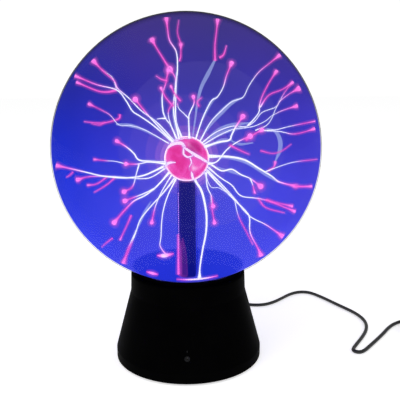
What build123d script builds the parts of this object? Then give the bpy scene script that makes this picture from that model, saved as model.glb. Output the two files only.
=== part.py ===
"""Plasma ball lamp: a gas-filled glass globe on a flared plastic base, with its drive electronics,
rear controls, low-voltage power lead and wall adapter.

Millimetres, +Z up, front towards -Y. The origin is on the table, under the globe's axis.
"""

import os
from math import atan2, cos, pi, radians, sin, tan

from build123d import *

os.makedirs("parts", exist_ok=True)

ON_TOP = (Align.CENTER, Align.CENTER, Align.MIN)  # stands on its plane
HANGING = (Align.CENTER, Align.CENTER, Align.MAX)  # hangs below its plane
FIT = 0.05  # gap between fitted pieces that don't move
SLACK = 0.2  # gap round pieces that drop in
THREAD_GAP = 0.02  # gap between a screw and its pilot hole

# ---- driving dimensions: globe ----

GLOBE_R = 100.0
GLOBE_Z = 163.2
GLASS_WALL = 2.0
NECK_R = 18.0
NECK_END_Z = 44.0
NECK_FILLET = 4.0

BULB_R = 16.8
BULB_Z = 156.3
STEM_R = 7.6
STEM_WALL = 1.1
STEM_FLARE_H = 6.0
WOOL_T = 0.6
SLEEVE_R = 6.2
SLEEVE_BORE_R = 2.6
SLEEVE_FOOT_Z = 40.0
SLEEVE_TOP_Z = 139.0
HV_LEAD_R = 1.6
HV_LEAD_TOP_Z = 148.0
HV_LEAD_FOOT_Z = 22.0
# between the flyback's winding and the globe's axis
HV_LEAD_BENDS = [(-9.0, 15.0, 25.0), (-3.0, 9.5, 28.5)]
HV_LEAD_BEND_Y = 11.0
HV_LEAD_RISE_Z = 34.0

# ---- driving dimensions: base ----

FOOT_H = 1.5  # how far the feet lift the base
BASE_R = 57.0
BAND_TOP_Z = 8.5
WAIST_Z = 54.4
WAIST_R = 44.7
RIM_R = 44.2
RIM_Z = 69.3
WALL = 2.6
RIM_HOLE_R = 36.5
BAND_BLEND = 16.0
WAIST_BLEND = 30.0
RIM_BLEND = 1.6
HEM_BLEND = 2.0
PANEL_CORNER = 3.0
PILOT_L = 10.0
CLAMP_PILOT_L = 7.0

GASKET_IN_R = 36.8
GASKET_OUT_R = 40.2
GASKET_BLANK_H = 4.0

PLATE_T = 3.0
PLATE_R = BASE_R - WALL - 0.4
PLATE_TOP_Z = FOOT_H + PLATE_T
BOSS_R = 3.6
BOSS_RING_R = 47.0
PLATE_SCREWS = 4
PLATE_TURN = 45.0  # direction of the plate's first screw, in degrees
PILOT_R = 1.42
FOOT_R = 6.0
FOOT_RING_R = 40.0
FOOT_SUNK = 0.6
FOOT_EDGE = 0.4
FEET = 4
SCREW_HEAD_R = 2.7
SCREW_HEAD_H = 1.6
SCREW_SUNK = 1.8
PLATE_SCREW_L = 9.0
VENTS = 5
VENT_PITCH = 6.0
VENT_L = 22.0
VENT_W = 2.4

CLAMP_Z = 58.0
CLAMP_T = 2.5
CLAMP_R = 41.0
CLAMP_SLEEVE_R = 21.0
CLAMP_SLEEVE_H = 10.0
CLAMP_BOSS_R = 3.0
CLAMP_RING_R = 37.6
CLAMP_SCREWS = 3
CLAMP_TURN = 30.0  # direction of the clamp's first screw, in degrees
CLAMP_VENT_R = 7.0
CLAMP_VENT_TURN = 90.0
CLAMP_HEAD_R = 2.8
CLAMP_HEAD_H = 1.9
CLAMP_BITE = 5.0  # how far a clamp screw reaches into its boss

# ---- driving dimensions: rear control panel, sunk into the back of the base ----

PANEL_Y = 42.0
PANEL_T = 2.4
PANEL_HALF_W = 24.0
PANEL_LOW_Z = 10.0
PANEL_HIGH_Z = 34.0
PANEL_Z = (PANEL_LOW_Z + PANEL_HIGH_Z) / 2
JACK_X = 13.0
SWITCH_X = -10.0

ROCKER_R = 8.0
ROCKER_W = 10.4
ROCKER_SINK = 2.0  # the pivot's depth behind the panel's face
ROCKER_TILT = 38.0  # where the raised ends lie on the rocker's circle, in degrees
ROCKER_DIP = 3.2
ROCKER_FLOOR = 2.7
TRUNNION_R = 1.0
TRUNNION_L = 0.9
SWITCH_BODY = (18.2, 12.6, 12.0)
SWITCH_BEZEL = (21.0, 15.0, 1.5)
SWITCH_WINDOW = (16.6, 11.0)
SWITCH_WELL = 7.0
BEZEL_CORNER = 1.5
BEZEL_EDGE = 0.5
ROCKER_EDGE = 0.6
TERMINAL_SIZE = (0.8, 4.8, 7.0)
TERMINAL_PITCH = 6.0

JACK_FLANGE_R = 5.5
JACK_FLANGE_T = 1.4
JACK_THREAD_R = 3.95
JACK_BORE_R = 2.8
JACK_DEPTH = 11.0
SOCKET_DEPTH = 9.6
PLUG_R = 2.75
PLUG_BORE_R = 1.1
JACK_EDGE = 0.4
JACK_PIN_SHORT = 1.0  # the pin stops this far inside the jack's mouth
NUT_R = 5.6
NUT_T = 2.0
JACK_TAB_SIZE = (2.0, 0.5, 5.0)
JACK_TAB_OUT = 2.4

# ---- driving dimensions: circuit board ----

BOARD_W = 60.0
BOARD_FRONT_Y = -27.0
BOARD_BACK_Y = 23.0
BOARD_Z = 11.0
BOARD_T = 1.6
BOARD_TOP = BOARD_Z + BOARD_T
POST_R = 3.0
POST_X = 26.0
POST_YS = (-23.0, 19.0)
BOARD_PILOT_R = 1.02
WIRE_R = 0.8
BOARD_CORNER = 2.0
BOARD_HEAD_R = 2.2
BOARD_HEAD_H = 1.5
BOARD_SCREW_L = 7.0
WIRE_LANDING_Y = 18.0
JACK_LANDING_Y = 20.0
MIC_WIRE_ROUTE = [(-35.0, 16.5), (-22.0, 19.5), (-22.0, BOARD_TOP)]  # (y, z)
# (x, y, radius, height)
CAPACITORS = [(9.0, 13.0, 5.0, 16.0), (20.5, 9.5, 4.0, 12.0), (-1.5, 14.0, 3.1, 9.0)]
CAPACITOR_EDGE = 0.5
CHIP_X, CHIP_Y = 6.0, 1.5
CHIP_SIZE = (9.4, 6.2, 3.2)
CHIP_LIFT = 0.5
CHIP_LEG_SIZE = (0.6, 1.0, 2.2)
CHIP_LEG_OUT = 3.6
LEG_PITCH = 2.54

FLYBACK_X, FLYBACK_Y = -14.0, -6.0
CORE_SIZE = (26.0, 9.0, 24.0)
CORE_LEG_R = 4.0
CORE_YOKE = 3.6
CORE_SIDE = 3.4
WINDING_R = 9.1

SINK_X, SINK_Y = 17.0, -13.5
SINK_SIZE = (24.0, 10.0, 26.0)
SINK_BACK = 2.5
SINK_FINS = 5
SINK_FIN_T = 1.4
TAB_SIZE = (10.0, 1.3, 15.0)
CASE_SIZE = (10.0, 4.4, 9.0)
TAB_HOLE_UP = 21.0
TAB_HOLE_R = 1.6
TAB_DROP = 5.0  # from the tab's hole down to its middle
CASE_DROP = 8.0  # from the tab's hole down to the case's middle
TAPPED_R = 1.27
TRANSISTOR_LEG = (0.8, 0.5)
LEG_OUT = 2.6
LEG_TOP_DROP = 12.5
TRANSISTOR_HEAD_R = 2.4
TRANSISTOR_HEAD_H = 1.7

# ---- driving dimensions: microphone, behind the front of the base ----

MIC_Z = 19.6
PORT_R = 0.8
MIC_BARREL_R = 1.5
MIC_RING_R = 2.0
MIC_RING_T = 0.4
CAPSULE_R = 3.0
CAPSULE_L = 2.7
BOOT_R = 4.4
BOOT_L = 6.0
BOOT_LIP = 1.0
MIC_RING_EDGE = 0.3
MIC_WIRE_X = 1.3
MIC_WIRE_LAP = 1.0  # how far the wires start inside the capsule, before they are trimmed
MIC_WIRE_DROP = 0.3

# ---- driving dimensions: power lead and wall adapter ----

CORD_R = 1.5
GRIP_R = 4.5
GRIP_END_Y = 60.0
RELIEF_END_Y = 76.0
RELIEF_R = 2.1
PLUG_GAP = 0.2  # between the jack's mouth and the plug's grip
GRIP_STEP = 0.6
GRIP_SLOPE = 0.8
GRIP_NOSE = 1.4
GRIP_NOSE_L = 2.0
RELIEF_GROOVES = 4
GROOVE_START = 3.0
GROOVE_PITCH = 3.2
GROOVE_W = 1.1
GROOVE_SKIN = 0.1  # how deep the grooves stay clear of the cord
FLOOR_LEVEL = CORD_R + 0.1

TIE_T = 0.8
TIE_W = 5.0
COIL_X, COIL_Y = 208.0, 34.0
COIL_IN_R = 10.4
COIL_OUT_R = 22.6
COIL_LOW_Z = TIE_T + 0.1
COIL_H = 12.4
COIL_TIE_TURN = 215.0  # direction of the tie from the coil's centre, in degrees
COIL_ENTRY_R = 21.0
COIL_EXIT_Z = 11.7
TIE_GAP_X, TIE_GAP_Z = 0.8, 0.2
TIE_CORNER = 1.0

ADAPTER_X, ADAPTER_Y = 226.0, -64.0
ADAPTER_SIZE = (42.0, 60.0, 31.0)
ADAPTER_WALL = 2.0
ADAPTER_SPLIT_Z = 21.0
ADAPTER_LEAD_Z = 8.0
ADAPTER_RELIEF_L = 16.0
ADAPTER_RELIEF_R = 3.4
ADAPTER_CORNER = 5.0
ADAPTER_EDGE = 1.5
BLADE_EDGE = 0.5
ADAPTER_BOARD_GAP = 4.0  # from the case's outside to the board's edge
CONVERTER_SIZE = (20.0, 18.0, 17.0)
CONVERTER_Y = -8.0
RESERVOIR_R, RESERVOIR_H = 5.0, 12.0
RESERVOIR_X, RESERVOIR_Y = -8.0, 14.0
BLADE_SIZE = (1.5, 6.3, 17.0)
BLADE_GAP = 12.7

# Where the lead runs: out of the plug's relief, down to the table, out to the right, round a
# tight fold and on to the coil.
LEAD_ROUTE = [
    (JACK_X, RELIEF_END_Y, PANEL_Z),
    (JACK_X, 84.5, PANEL_Z),
    (13.4, 94.0, 18.6),
    (15.6, 102.0, 11.2),
    (21.5, 107.6, 5.0),
    (30.6, 108.8, FLOOR_LEVEL),
    (40.6, 105.4, FLOOR_LEVEL),
    (50.6, 99.6, FLOOR_LEVEL),
    (61.0, 95.6, FLOOR_LEVEL),
    (71.5, 96.8, FLOOR_LEVEL),
    (81.0, 103.4, FLOOR_LEVEL),
    (89.8, 113.4, FLOOR_LEVEL),
    (97.4, 122.6, FLOOR_LEVEL),
    (105.0, 129.2, FLOOR_LEVEL),
    (113.0, 131.8, FLOOR_LEVEL),
    (120.3, 129.5, FLOOR_LEVEL),
    (126.0, 122.3, FLOOR_LEVEL),
    (132.3, 112.2, FLOOR_LEVEL),
    (138.5, 100.4, FLOOR_LEVEL),
    (145.4, 88.2, FLOOR_LEVEL),
    (152.0, 76.4, FLOOR_LEVEL),
    (156.2, 63.2, FLOOR_LEVEL),
    (156.6, 49.6, FLOOR_LEVEL),
    (152.8, 35.6, FLOOR_LEVEL),
    (146.2, 22.6, FLOOR_LEVEL),
    (139.4, 11.2, FLOOR_LEVEL),
    (133.4, 1.2, FLOOR_LEVEL),
    (131.3, -4.2, FLOOR_LEVEL),
    (135.2, -7.6, FLOOR_LEVEL),
    (140.2, -5.0, FLOOR_LEVEL),
    (146.8, 3.6, FLOOR_LEVEL),
    (155.5, 15.0, FLOOR_LEVEL),
    (164.8, 27.6, FLOOR_LEVEL),
    (174.0, 41.5, FLOOR_LEVEL),
    (183.6, 51.4, FLOOR_LEVEL),
    (195.5, 56.4, 2.0),
    (COIL_X, COIL_Y + COIL_ENTRY_R, COIL_LOW_Z + CORD_R),
]

# From the top of the coil down to the table and into the adapter.
TAIL_ROUTE = [
    (COIL_X + COIL_ENTRY_R, COIL_Y, COIL_EXIT_Z),
    (229.8, 25.0, 9.6),
    (229.9, 16.0, 6.0),
    (229.2, 7.0, 3.2),
    (227.6, -1.8, 4.6),
    (ADAPTER_X, -10.0, ADAPTER_LEAD_Z),
    (ADAPTER_X, ADAPTER_Y + ADAPTER_SIZE[1] / 2 + ADAPTER_RELIEF_L, ADAPTER_LEAD_Z),
]

# The rear panel's face, seen from behind: local x runs to -X and local y up.
REAR = Plane(origin=(0, PANEL_Y, 0), x_dir=(-1, 0, 0), z_dir=(0, 1, 0))

# The cone between band and waist, and the front of it at the microphone's height.
CONE_SLOPE = (BASE_R - WAIST_R) / (WAIST_Z - BAND_TOP_Z)
CONE_TILT = atan2(BASE_R - WAIST_R, WAIST_Z - BAND_TOP_Z)
MIC_FACE = Plane(
    origin=(0, -(BASE_R - CONE_SLOPE * (MIC_Z - BAND_TOP_Z)), MIC_Z),
    x_dir=(1, 0, 0),
    z_dir=(0, -cos(CONE_TILT), sin(CONE_TILT)),
)


def save(name, piece):
    """Labels a finished piece and writes its STEP file."""
    piece.label = name
    export_step(piece, f"parts/{name}.step")


CORNER_SHARE = 0.45  # how much of a run one arc may take


def corner_radii(route):
    """The largest even arcs that a route's runs allow, one for each corner."""
    points = [Vector(*point) for point in route]
    radii = []
    for before, here, after in zip(points, points[1:], points[2:]):
        arriving, leaving = here - before, after - here
        turn = radians(arriving.get_angle(leaving))
        radii.append(CORNER_SHARE * min(arriving.length, leaving.length) / tan(turn / 2))
    return radii


def lead(route, radius):
    """A round wire or cord along straight runs joined by tangent arcs."""
    with BuildPart() as wire:
        with BuildLine():
            centre = FilletPolyline(*route, radius=corner_radii(route))
        with BuildSketch(Plane(origin=centre @ 0, z_dir=centre % 0)):
            Circle(radius)
        sweep()
    return wire.part, centre.length


# A screw head's rounding and its cross slot, as shares of the head's size.
HEAD_ROUNDING = 0.4
CROSS_LENGTH, CROSS_WIDTH, CROSS_DEPTH = 1.2, 0.25, 0.5


def pan_screw(head_r, head_h, shank_r, shank_l):
    """A cross-head screw with its shank up and its head hanging below the origin."""
    with BuildPart() as screw:
        Cylinder(head_r, head_h, align=HANGING)
        fillet(screw.edges().group_by(Axis.Z)[0], head_h * HEAD_ROUNDING)
        Cylinder(shank_r, shank_l, align=ON_TOP)
        with Locations((0, 0, -head_h)):
            for turn in (0, 90):
                Box(
                    head_r * CROSS_LENGTH,
                    head_r * CROSS_WIDTH,
                    head_h * CROSS_DEPTH,
                    rotation=(0, 0, turn),
                    align=ON_TOP,
                    mode=Mode.SUBTRACT,
                )
    return screw.part


def highest_ring(piece, radius):
    """The highest round edge of this radius on a part that is being built."""
    rings = piece.edges().filter_by(GeomType.CIRCLE)
    return rings.filter_by(lambda edge: abs(edge.radius - radius) < FIT).sort_by(Axis.Z)[-1]


def cushion(width, depth, height, corner, edge):
    """A block with round upright corners and softened top and bottom edges."""
    with BuildPart() as block:
        with BuildSketch():
            RectangleRounded(width, depth, corner)
        extrude(amount=height)
        fillet(block.edges().group_by(Axis.Z)[0] + block.edges().group_by(Axis.Z)[-1], edge)
    return block.part


# ---- glass globe with its open neck ----

with BuildPart() as glass_globe:
    with Locations((0, 0, GLOBE_Z)):
        Sphere(GLOBE_R)
    with Locations((0, 0, NECK_END_Z)):
        Cylinder(NECK_R, GLOBE_Z - NECK_END_Z, align=ON_TOP)
    fillet(highest_ring(glass_globe, NECK_R), NECK_FILLET)
    with Locations((0, 0, GLOBE_Z)):
        Sphere(GLOBE_R - GLASS_WALL, mode=Mode.SUBTRACT)
    with Locations((0, 0, NECK_END_Z)):
        Cylinder(
            NECK_R - GLASS_WALL, GLOBE_Z - NECK_END_Z, align=ON_TOP, mode=Mode.SUBTRACT
        )
save("glass_globe", glass_globe.part)

# ---- inner glass: a stem tube blown out to the electrode bulb, flared to seal the neck ----

STEM_BORE_R = STEM_R - STEM_WALL
FLARE_R = NECK_R - GLASS_WALL - FIT

with BuildPart() as glass_stem:
    with Locations((0, 0, BULB_Z)):
        Sphere(BULB_R)
    with Locations((0, 0, NECK_END_Z)):
        Cylinder(STEM_R, BULB_Z - NECK_END_Z, align=ON_TOP)
    fillet(highest_ring(glass_stem, STEM_R), STEM_WALL)
    with Locations((0, 0, NECK_END_Z)):
        Cone(FLARE_R, STEM_R, STEM_FLARE_H, align=ON_TOP)
    with Locations((0, 0, BULB_Z)):
        Sphere(BULB_R - STEM_WALL, mode=Mode.SUBTRACT)
    with Locations((0, 0, NECK_END_Z)):
        Cylinder(STEM_BORE_R, BULB_Z - NECK_END_Z, align=ON_TOP, mode=Mode.SUBTRACT)
        Cone(
            FLARE_R - STEM_WALL, STEM_BORE_R, STEM_FLARE_H, align=ON_TOP, mode=Mode.SUBTRACT
        )
save("glass_stem", glass_stem.part)

# ---- steel wool that lines the bulb and spreads the voltage ----

WOOL_R = BULB_R - STEM_WALL - 4 * FIT

with BuildPart() as steel_wool:
    with Locations((0, 0, BULB_Z)):
        Sphere(WOOL_R)
        Sphere(WOOL_R - WOOL_T, mode=Mode.SUBTRACT)
        Cylinder(STEM_BORE_R, BULB_R, align=HANGING, mode=Mode.SUBTRACT)
save("steel_wool", steel_wool.part)

# ---- dark insulating sleeve inside the stem ----

with BuildPart(Plane.XY.offset(SLEEVE_FOOT_Z)) as stem_sleeve:
    Cylinder(SLEEVE_R, SLEEVE_TOP_Z - SLEEVE_FOOT_Z, align=ON_TOP)
    Cylinder(
        SLEEVE_BORE_R, SLEEVE_TOP_Z - SLEEVE_FOOT_Z, align=ON_TOP, mode=Mode.SUBTRACT
    )
save("stem_sleeve", stem_sleeve.part)

# ---- high-voltage lead from the flyback's winding up into the bulb ----

hv_lead, _ = lead(
    [
        (FLYBACK_X, FLYBACK_Y + WINDING_R + FIT, HV_LEAD_FOOT_Z),
        (FLYBACK_X, HV_LEAD_BEND_Y, HV_LEAD_FOOT_Z),
        *HV_LEAD_BENDS,
        (0, 0, HV_LEAD_RISE_Z),
        (0, 0, HV_LEAD_TOP_Z),
    ],
    HV_LEAD_R,
)
save("hv_lead", hv_lead)

# ---- foam ring between the globe and the rim of the base ----

with BuildPart(Plane.XY.offset(RIM_Z)) as globe_gasket:
    Cylinder(GASKET_OUT_R, GASKET_BLANK_H, align=ON_TOP)
    Cylinder(GASKET_IN_R, GASKET_BLANK_H, align=ON_TOP, mode=Mode.SUBTRACT)
    with Locations((0, 0, GLOBE_Z - RIM_Z)):
        Sphere(GLOBE_R + FIT, mode=Mode.SUBTRACT)
save("globe_gasket", globe_gasket.part)

# ---- inside of the base housing, as the mould's core would fill it ----

RECESS_OUT = PANEL_HALF_W + WALL

with BuildPart() as core:
    with BuildSketch(Plane.XZ):
        with BuildLine():
            Polyline(
                (0, FOOT_H),
                (BASE_R - WALL, FOOT_H),
                (BASE_R - WALL, BAND_TOP_Z),
                (WAIST_R - WALL, WAIST_Z),
                (RIM_R - WALL, RIM_Z - WALL),
                (0, RIM_Z - WALL),
                close=True,
            )
        make_face()
    revolve(axis=Axis.Z)
    # the control panel's box stays solid
    with BuildSketch(REAR.offset(-PANEL_T)):
        with Locations((0, PANEL_Z)):
            Rectangle(2 * RECESS_OUT, PANEL_HIGH_Z - PANEL_LOW_Z + 2 * WALL)
    extrude(amount=BASE_R, mode=Mode.SUBTRACT)
    # so do the screw bosses for the plate and for the neck clamp
    with BuildSketch(Plane.XY.offset(PLATE_TOP_Z)):
        with PolarLocations(BOSS_RING_R, PLATE_SCREWS, start_angle=PLATE_TURN):
            Circle(BOSS_R)
    extrude(amount=WAIST_Z - PLATE_TOP_Z, mode=Mode.SUBTRACT)
    with BuildSketch(Plane.XY.offset(CLAMP_Z + CLAMP_T)):
        with PolarLocations(CLAMP_RING_R, CLAMP_SCREWS, start_angle=CLAMP_TURN):
            Circle(CLAMP_BOSS_R)
    extrude(amount=RIM_Z - CLAMP_Z, mode=Mode.SUBTRACT)

# ---- base housing: band, cone and collar in one moulding, with a sunken rear panel ----

with BuildPart() as base_housing:
    with BuildSketch(Plane.XZ) as outline:
        with BuildLine():
            Polyline(
                (0, FOOT_H),
                (BASE_R, FOOT_H),
                (BASE_R, BAND_TOP_Z),
                (WAIST_R, WAIST_Z),
                (RIM_R, RIM_Z),
                (0, RIM_Z),
                close=True,
            )
        make_face()
        corners = outline.vertices().filter_by_position(Axis.X, RIM_R - 1, BASE_R + 1)
        hem, band, waist, rim = corners.sort_by(Axis.Z)
        fillet(hem, HEM_BLEND)
        fillet(band, BAND_BLEND)
        fillet(waist, WAIST_BLEND)
        fillet(rim, RIM_BLEND)
    revolve(axis=Axis.Z)
    add(core.part, mode=Mode.SUBTRACT)
    with Locations((0, 0, RIM_Z - WALL)):
        Cylinder(RIM_HOLE_R, WALL, align=ON_TOP, mode=Mode.SUBTRACT)
    # the sunken panel and its two openings
    with BuildSketch(REAR):
        with Locations((0, PANEL_Z)):
            RectangleRounded(2 * PANEL_HALF_W, PANEL_HIGH_Z - PANEL_LOW_Z, PANEL_CORNER)
    extrude(amount=BASE_R, mode=Mode.SUBTRACT)
    with BuildSketch(REAR.offset(-PANEL_T)):
        with Locations((-JACK_X, PANEL_Z)):
            Circle(JACK_THREAD_R + FIT)
        with Locations((-SWITCH_X, PANEL_Z)):
            Rectangle(SWITCH_BODY[0] + SLACK, SWITCH_BODY[1] + SLACK)
    extrude(amount=PANEL_T, mode=Mode.SUBTRACT)
    # the microphone's hole, square to the cone
    with BuildSketch(MIC_FACE.offset(-2 * WALL)):
        Circle(MIC_BARREL_R + FIT)
    extrude(amount=3 * WALL, mode=Mode.SUBTRACT)
    # pilot holes in the bosses
    with BuildSketch(Plane.XY.offset(PLATE_TOP_Z)):
        with PolarLocations(BOSS_RING_R, PLATE_SCREWS, start_angle=PLATE_TURN):
            Circle(PILOT_R)
    extrude(amount=PILOT_L, mode=Mode.SUBTRACT)
    with BuildSketch(Plane.XY.offset(CLAMP_Z + CLAMP_T)):
        with PolarLocations(CLAMP_RING_R, CLAMP_SCREWS, start_angle=CLAMP_TURN):
            Circle(PILOT_R)
    extrude(amount=CLAMP_PILOT_L, mode=Mode.SUBTRACT)
save("base_housing", base_housing.part)

# ---- neck clamp and its screws ----

with BuildPart(Plane.XY.offset(CLAMP_Z)) as neck_clamp:
    Cylinder(CLAMP_R, CLAMP_T, align=ON_TOP)
    Cylinder(CLAMP_SLEEVE_R, CLAMP_SLEEVE_H, align=HANGING)
    Cylinder(NECK_R + FIT, 2 * CLAMP_SLEEVE_H + CLAMP_T, mode=Mode.SUBTRACT)
    with PolarLocations(CLAMP_RING_R, CLAMP_SCREWS, start_angle=CLAMP_TURN):
        Cylinder(PILOT_R + SLACK, 2 * CLAMP_T, mode=Mode.SUBTRACT)
    with PolarLocations(
        (CLAMP_R + CLAMP_SLEEVE_R) / 2, CLAMP_SCREWS, start_angle=CLAMP_VENT_TURN
    ):
        Cylinder(CLAMP_VENT_R, 2 * CLAMP_T, mode=Mode.SUBTRACT)
save("neck_clamp", neck_clamp.part)

clamp_screw = pan_screw(
    CLAMP_HEAD_R, CLAMP_HEAD_H, PILOT_R - THREAD_GAP, CLAMP_T + CLAMP_BITE
)
with BuildPart(Plane.XY.offset(CLAMP_Z)) as clamp_screws:
    with PolarLocations(CLAMP_RING_R, CLAMP_SCREWS, start_angle=CLAMP_TURN):
        add(clamp_screw)
save("clamp_screws", clamp_screws.part)

# ---- base plate with board posts, vents, sunken screw heads and foot pockets ----

board_posts = [(x, y) for x in (-POST_X, POST_X) for y in POST_YS]

with BuildPart(Plane.XY.offset(FOOT_H)) as base_plate:
    Cylinder(PLATE_R, PLATE_T, align=ON_TOP)
    with Locations(*board_posts):
        Cylinder(POST_R, BOARD_Z - FOOT_H, align=ON_TOP)
    with BuildSketch(Plane.XY.offset(PLATE_TOP_Z)):
        with Locations(*board_posts):
            Circle(BOARD_PILOT_R)
    extrude(amount=BOARD_Z - PLATE_TOP_Z, mode=Mode.SUBTRACT)
    with PolarLocations(FOOT_RING_R, FEET):
        Cylinder(FOOT_R + FIT, FOOT_SUNK, align=ON_TOP, mode=Mode.SUBTRACT)
    with PolarLocations(BOSS_RING_R, PLATE_SCREWS, start_angle=PLATE_TURN):
        Cylinder(PILOT_R + SLACK, PLATE_T, align=ON_TOP, mode=Mode.SUBTRACT)
        Cylinder(SCREW_HEAD_R + SLACK, SCREW_SUNK, align=ON_TOP, mode=Mode.SUBTRACT)
    with BuildSketch(Plane.XY.offset(FOOT_H)):
        with GridLocations(VENT_PITCH, 0, VENTS, 1):
            SlotOverall(VENT_L, VENT_W, rotation=90)
    extrude(amount=PLATE_T, mode=Mode.SUBTRACT)
save("base_plate", base_plate.part)

plate_screw = pan_screw(SCREW_HEAD_R, SCREW_HEAD_H, PILOT_R - THREAD_GAP, PLATE_SCREW_L)
with BuildPart(Plane.XY.offset(FOOT_H + SCREW_SUNK)) as plate_screws:
    with PolarLocations(BOSS_RING_R, PLATE_SCREWS, start_angle=PLATE_TURN):
        add(plate_screw)
save("plate_screws", plate_screws.part)

with BuildPart() as rubber_feet:
    with PolarLocations(FOOT_RING_R, FEET):
        Cylinder(FOOT_R, FOOT_H + FOOT_SUNK, align=ON_TOP)
    chamfer(rubber_feet.edges().group_by(Axis.Z)[0], FOOT_EDGE)
save("rubber_feet", rubber_feet.part)

# ---- circuit board and its screws ----

BOARD_MID_Y = (BOARD_FRONT_Y + BOARD_BACK_Y) / 2

with BuildPart() as circuit_board:
    with BuildSketch(Plane.XY.offset(BOARD_Z)):
        with Locations((0, BOARD_MID_Y)):
            RectangleRounded(BOARD_W, BOARD_BACK_Y - BOARD_FRONT_Y, BOARD_CORNER)
        with Locations(*board_posts):
            Circle(BOARD_PILOT_R + SLACK, mode=Mode.SUBTRACT)
    extrude(amount=BOARD_T)
save("circuit_board", circuit_board.part)

board_screw = Rot(180, 0, 0) * pan_screw(
    BOARD_HEAD_R, BOARD_HEAD_H, BOARD_PILOT_R - THREAD_GAP, BOARD_SCREW_L
)
with BuildPart(Plane.XY.offset(BOARD_TOP)) as board_screws:
    with Locations(*board_posts):
        add(board_screw)
save("board_screws", board_screws.part)

# ---- flyback transformer: ferrite core and potted winding ----

WINDOW_W = CORE_SIZE[0] / 2 - CORE_SIDE - CORE_LEG_R
WINDOW_H = CORE_SIZE[2] - 2 * CORE_YOKE

with BuildPart(Plane.XY.offset(BOARD_TOP)) as flyback_core:
    with Locations((FLYBACK_X, FLYBACK_Y)):
        Box(*CORE_SIZE, align=ON_TOP)
    with Locations((FLYBACK_X, FLYBACK_Y, CORE_YOKE)):
        Cylinder(CORE_SIZE[0] / 2 - CORE_SIDE, WINDOW_H, align=ON_TOP, mode=Mode.SUBTRACT)
        Cylinder(CORE_LEG_R, WINDOW_H, align=ON_TOP)
save("flyback_core", flyback_core.part)

with BuildPart(Plane.XY.offset(BOARD_TOP + CORE_YOKE + FIT)) as flyback_winding:
    with Locations((FLYBACK_X, FLYBACK_Y)):
        Cylinder(WINDING_R, WINDOW_H - 2 * FIT, align=ON_TOP)
        Cylinder(CORE_LEG_R + FIT, WINDOW_H, align=ON_TOP, mode=Mode.SUBTRACT)
save("flyback_winding", flyback_winding.part)

# ---- finned heatsink with the power transistor screwed to its flat back ----

SINK_BACK_Y = SINK_Y + SINK_SIZE[1] / 2
FIN_PITCH = (SINK_SIZE[0] - SINK_FIN_T) / (SINK_FINS - 1)
TAB_HOLE_Z = BOARD_TOP + TAB_HOLE_UP
TAB_X = SINK_X + FIN_PITCH / 2

with BuildPart() as heatsink:
    with BuildSketch(Plane.XY.offset(BOARD_TOP)):
        with Locations((SINK_X, SINK_BACK_Y - SINK_BACK / 2)):
            Rectangle(SINK_SIZE[0], SINK_BACK)
        with Locations((SINK_X, SINK_Y)):
            with GridLocations(FIN_PITCH, 0, SINK_FINS, 1):
                Rectangle(SINK_FIN_T, SINK_SIZE[1])
    extrude(amount=SINK_SIZE[2])
    with BuildSketch(Plane.XZ.offset(-SINK_BACK_Y)):
        with Locations((TAB_X, TAB_HOLE_Z)):
            Circle(TAPPED_R)
    extrude(amount=SINK_BACK, mode=Mode.SUBTRACT)
save("heatsink", heatsink.part)

with BuildPart() as power_transistor:
    with BuildSketch(Plane.XZ.offset(-SINK_BACK_Y)):
        with Locations((TAB_X, TAB_HOLE_Z - TAB_DROP)):
            Rectangle(TAB_SIZE[0], TAB_SIZE[2])
        with Locations((TAB_X, TAB_HOLE_Z)):
            Circle(TAB_HOLE_R, mode=Mode.SUBTRACT)
    extrude(amount=-TAB_SIZE[1])
    with BuildSketch(Plane.XZ.offset(-SINK_BACK_Y)):
        with Locations((TAB_X, TAB_HOLE_Z - CASE_DROP)):
            Rectangle(CASE_SIZE[0], CASE_SIZE[2])
    extrude(amount=-CASE_SIZE[1])
    with Locations((TAB_X, SINK_BACK_Y + LEG_OUT, BOARD_TOP)):
        with GridLocations(LEG_PITCH, 0, 3, 1):
            Box(*TRANSISTOR_LEG, TAB_HOLE_UP - LEG_TOP_DROP, align=ON_TOP)
save("power_transistor", power_transistor.part)

transistor_screw = Pos(TAB_X, SINK_BACK_Y + TAB_SIZE[1], TAB_HOLE_Z) * (
    Rot(90, 0, 0)
    * pan_screw(
        TRANSISTOR_HEAD_R, TRANSISTOR_HEAD_H, TAPPED_R - THREAD_GAP, TAB_SIZE[1] + SINK_BACK
    )
)
save("transistor_screw", transistor_screw)

# ---- capacitors and control chip ----

with BuildPart(Plane.XY.offset(BOARD_TOP)) as capacitors:
    for x, y, radius, height in CAPACITORS:
        with Locations((x, y)):
            Cylinder(radius, height, align=ON_TOP)
    fillet(capacitors.edges().filter_by(GeomType.CIRCLE), CAPACITOR_EDGE)
save("capacitors", capacitors.part)

with BuildPart(Plane.XY.offset(BOARD_TOP)) as control_chip:
    with Locations((CHIP_X, CHIP_Y, CHIP_LIFT)):
        Box(*CHIP_SIZE, align=ON_TOP)
    with Locations((CHIP_X, CHIP_Y)):
        with GridLocations(LEG_PITCH, 2 * CHIP_LEG_OUT, 4, 2):
            Box(*CHIP_LEG_SIZE, align=ON_TOP)
save("control_chip", control_chip.part)

# ---- rocker switch: body with bezel, terminals, and the rocker itself ----

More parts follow.
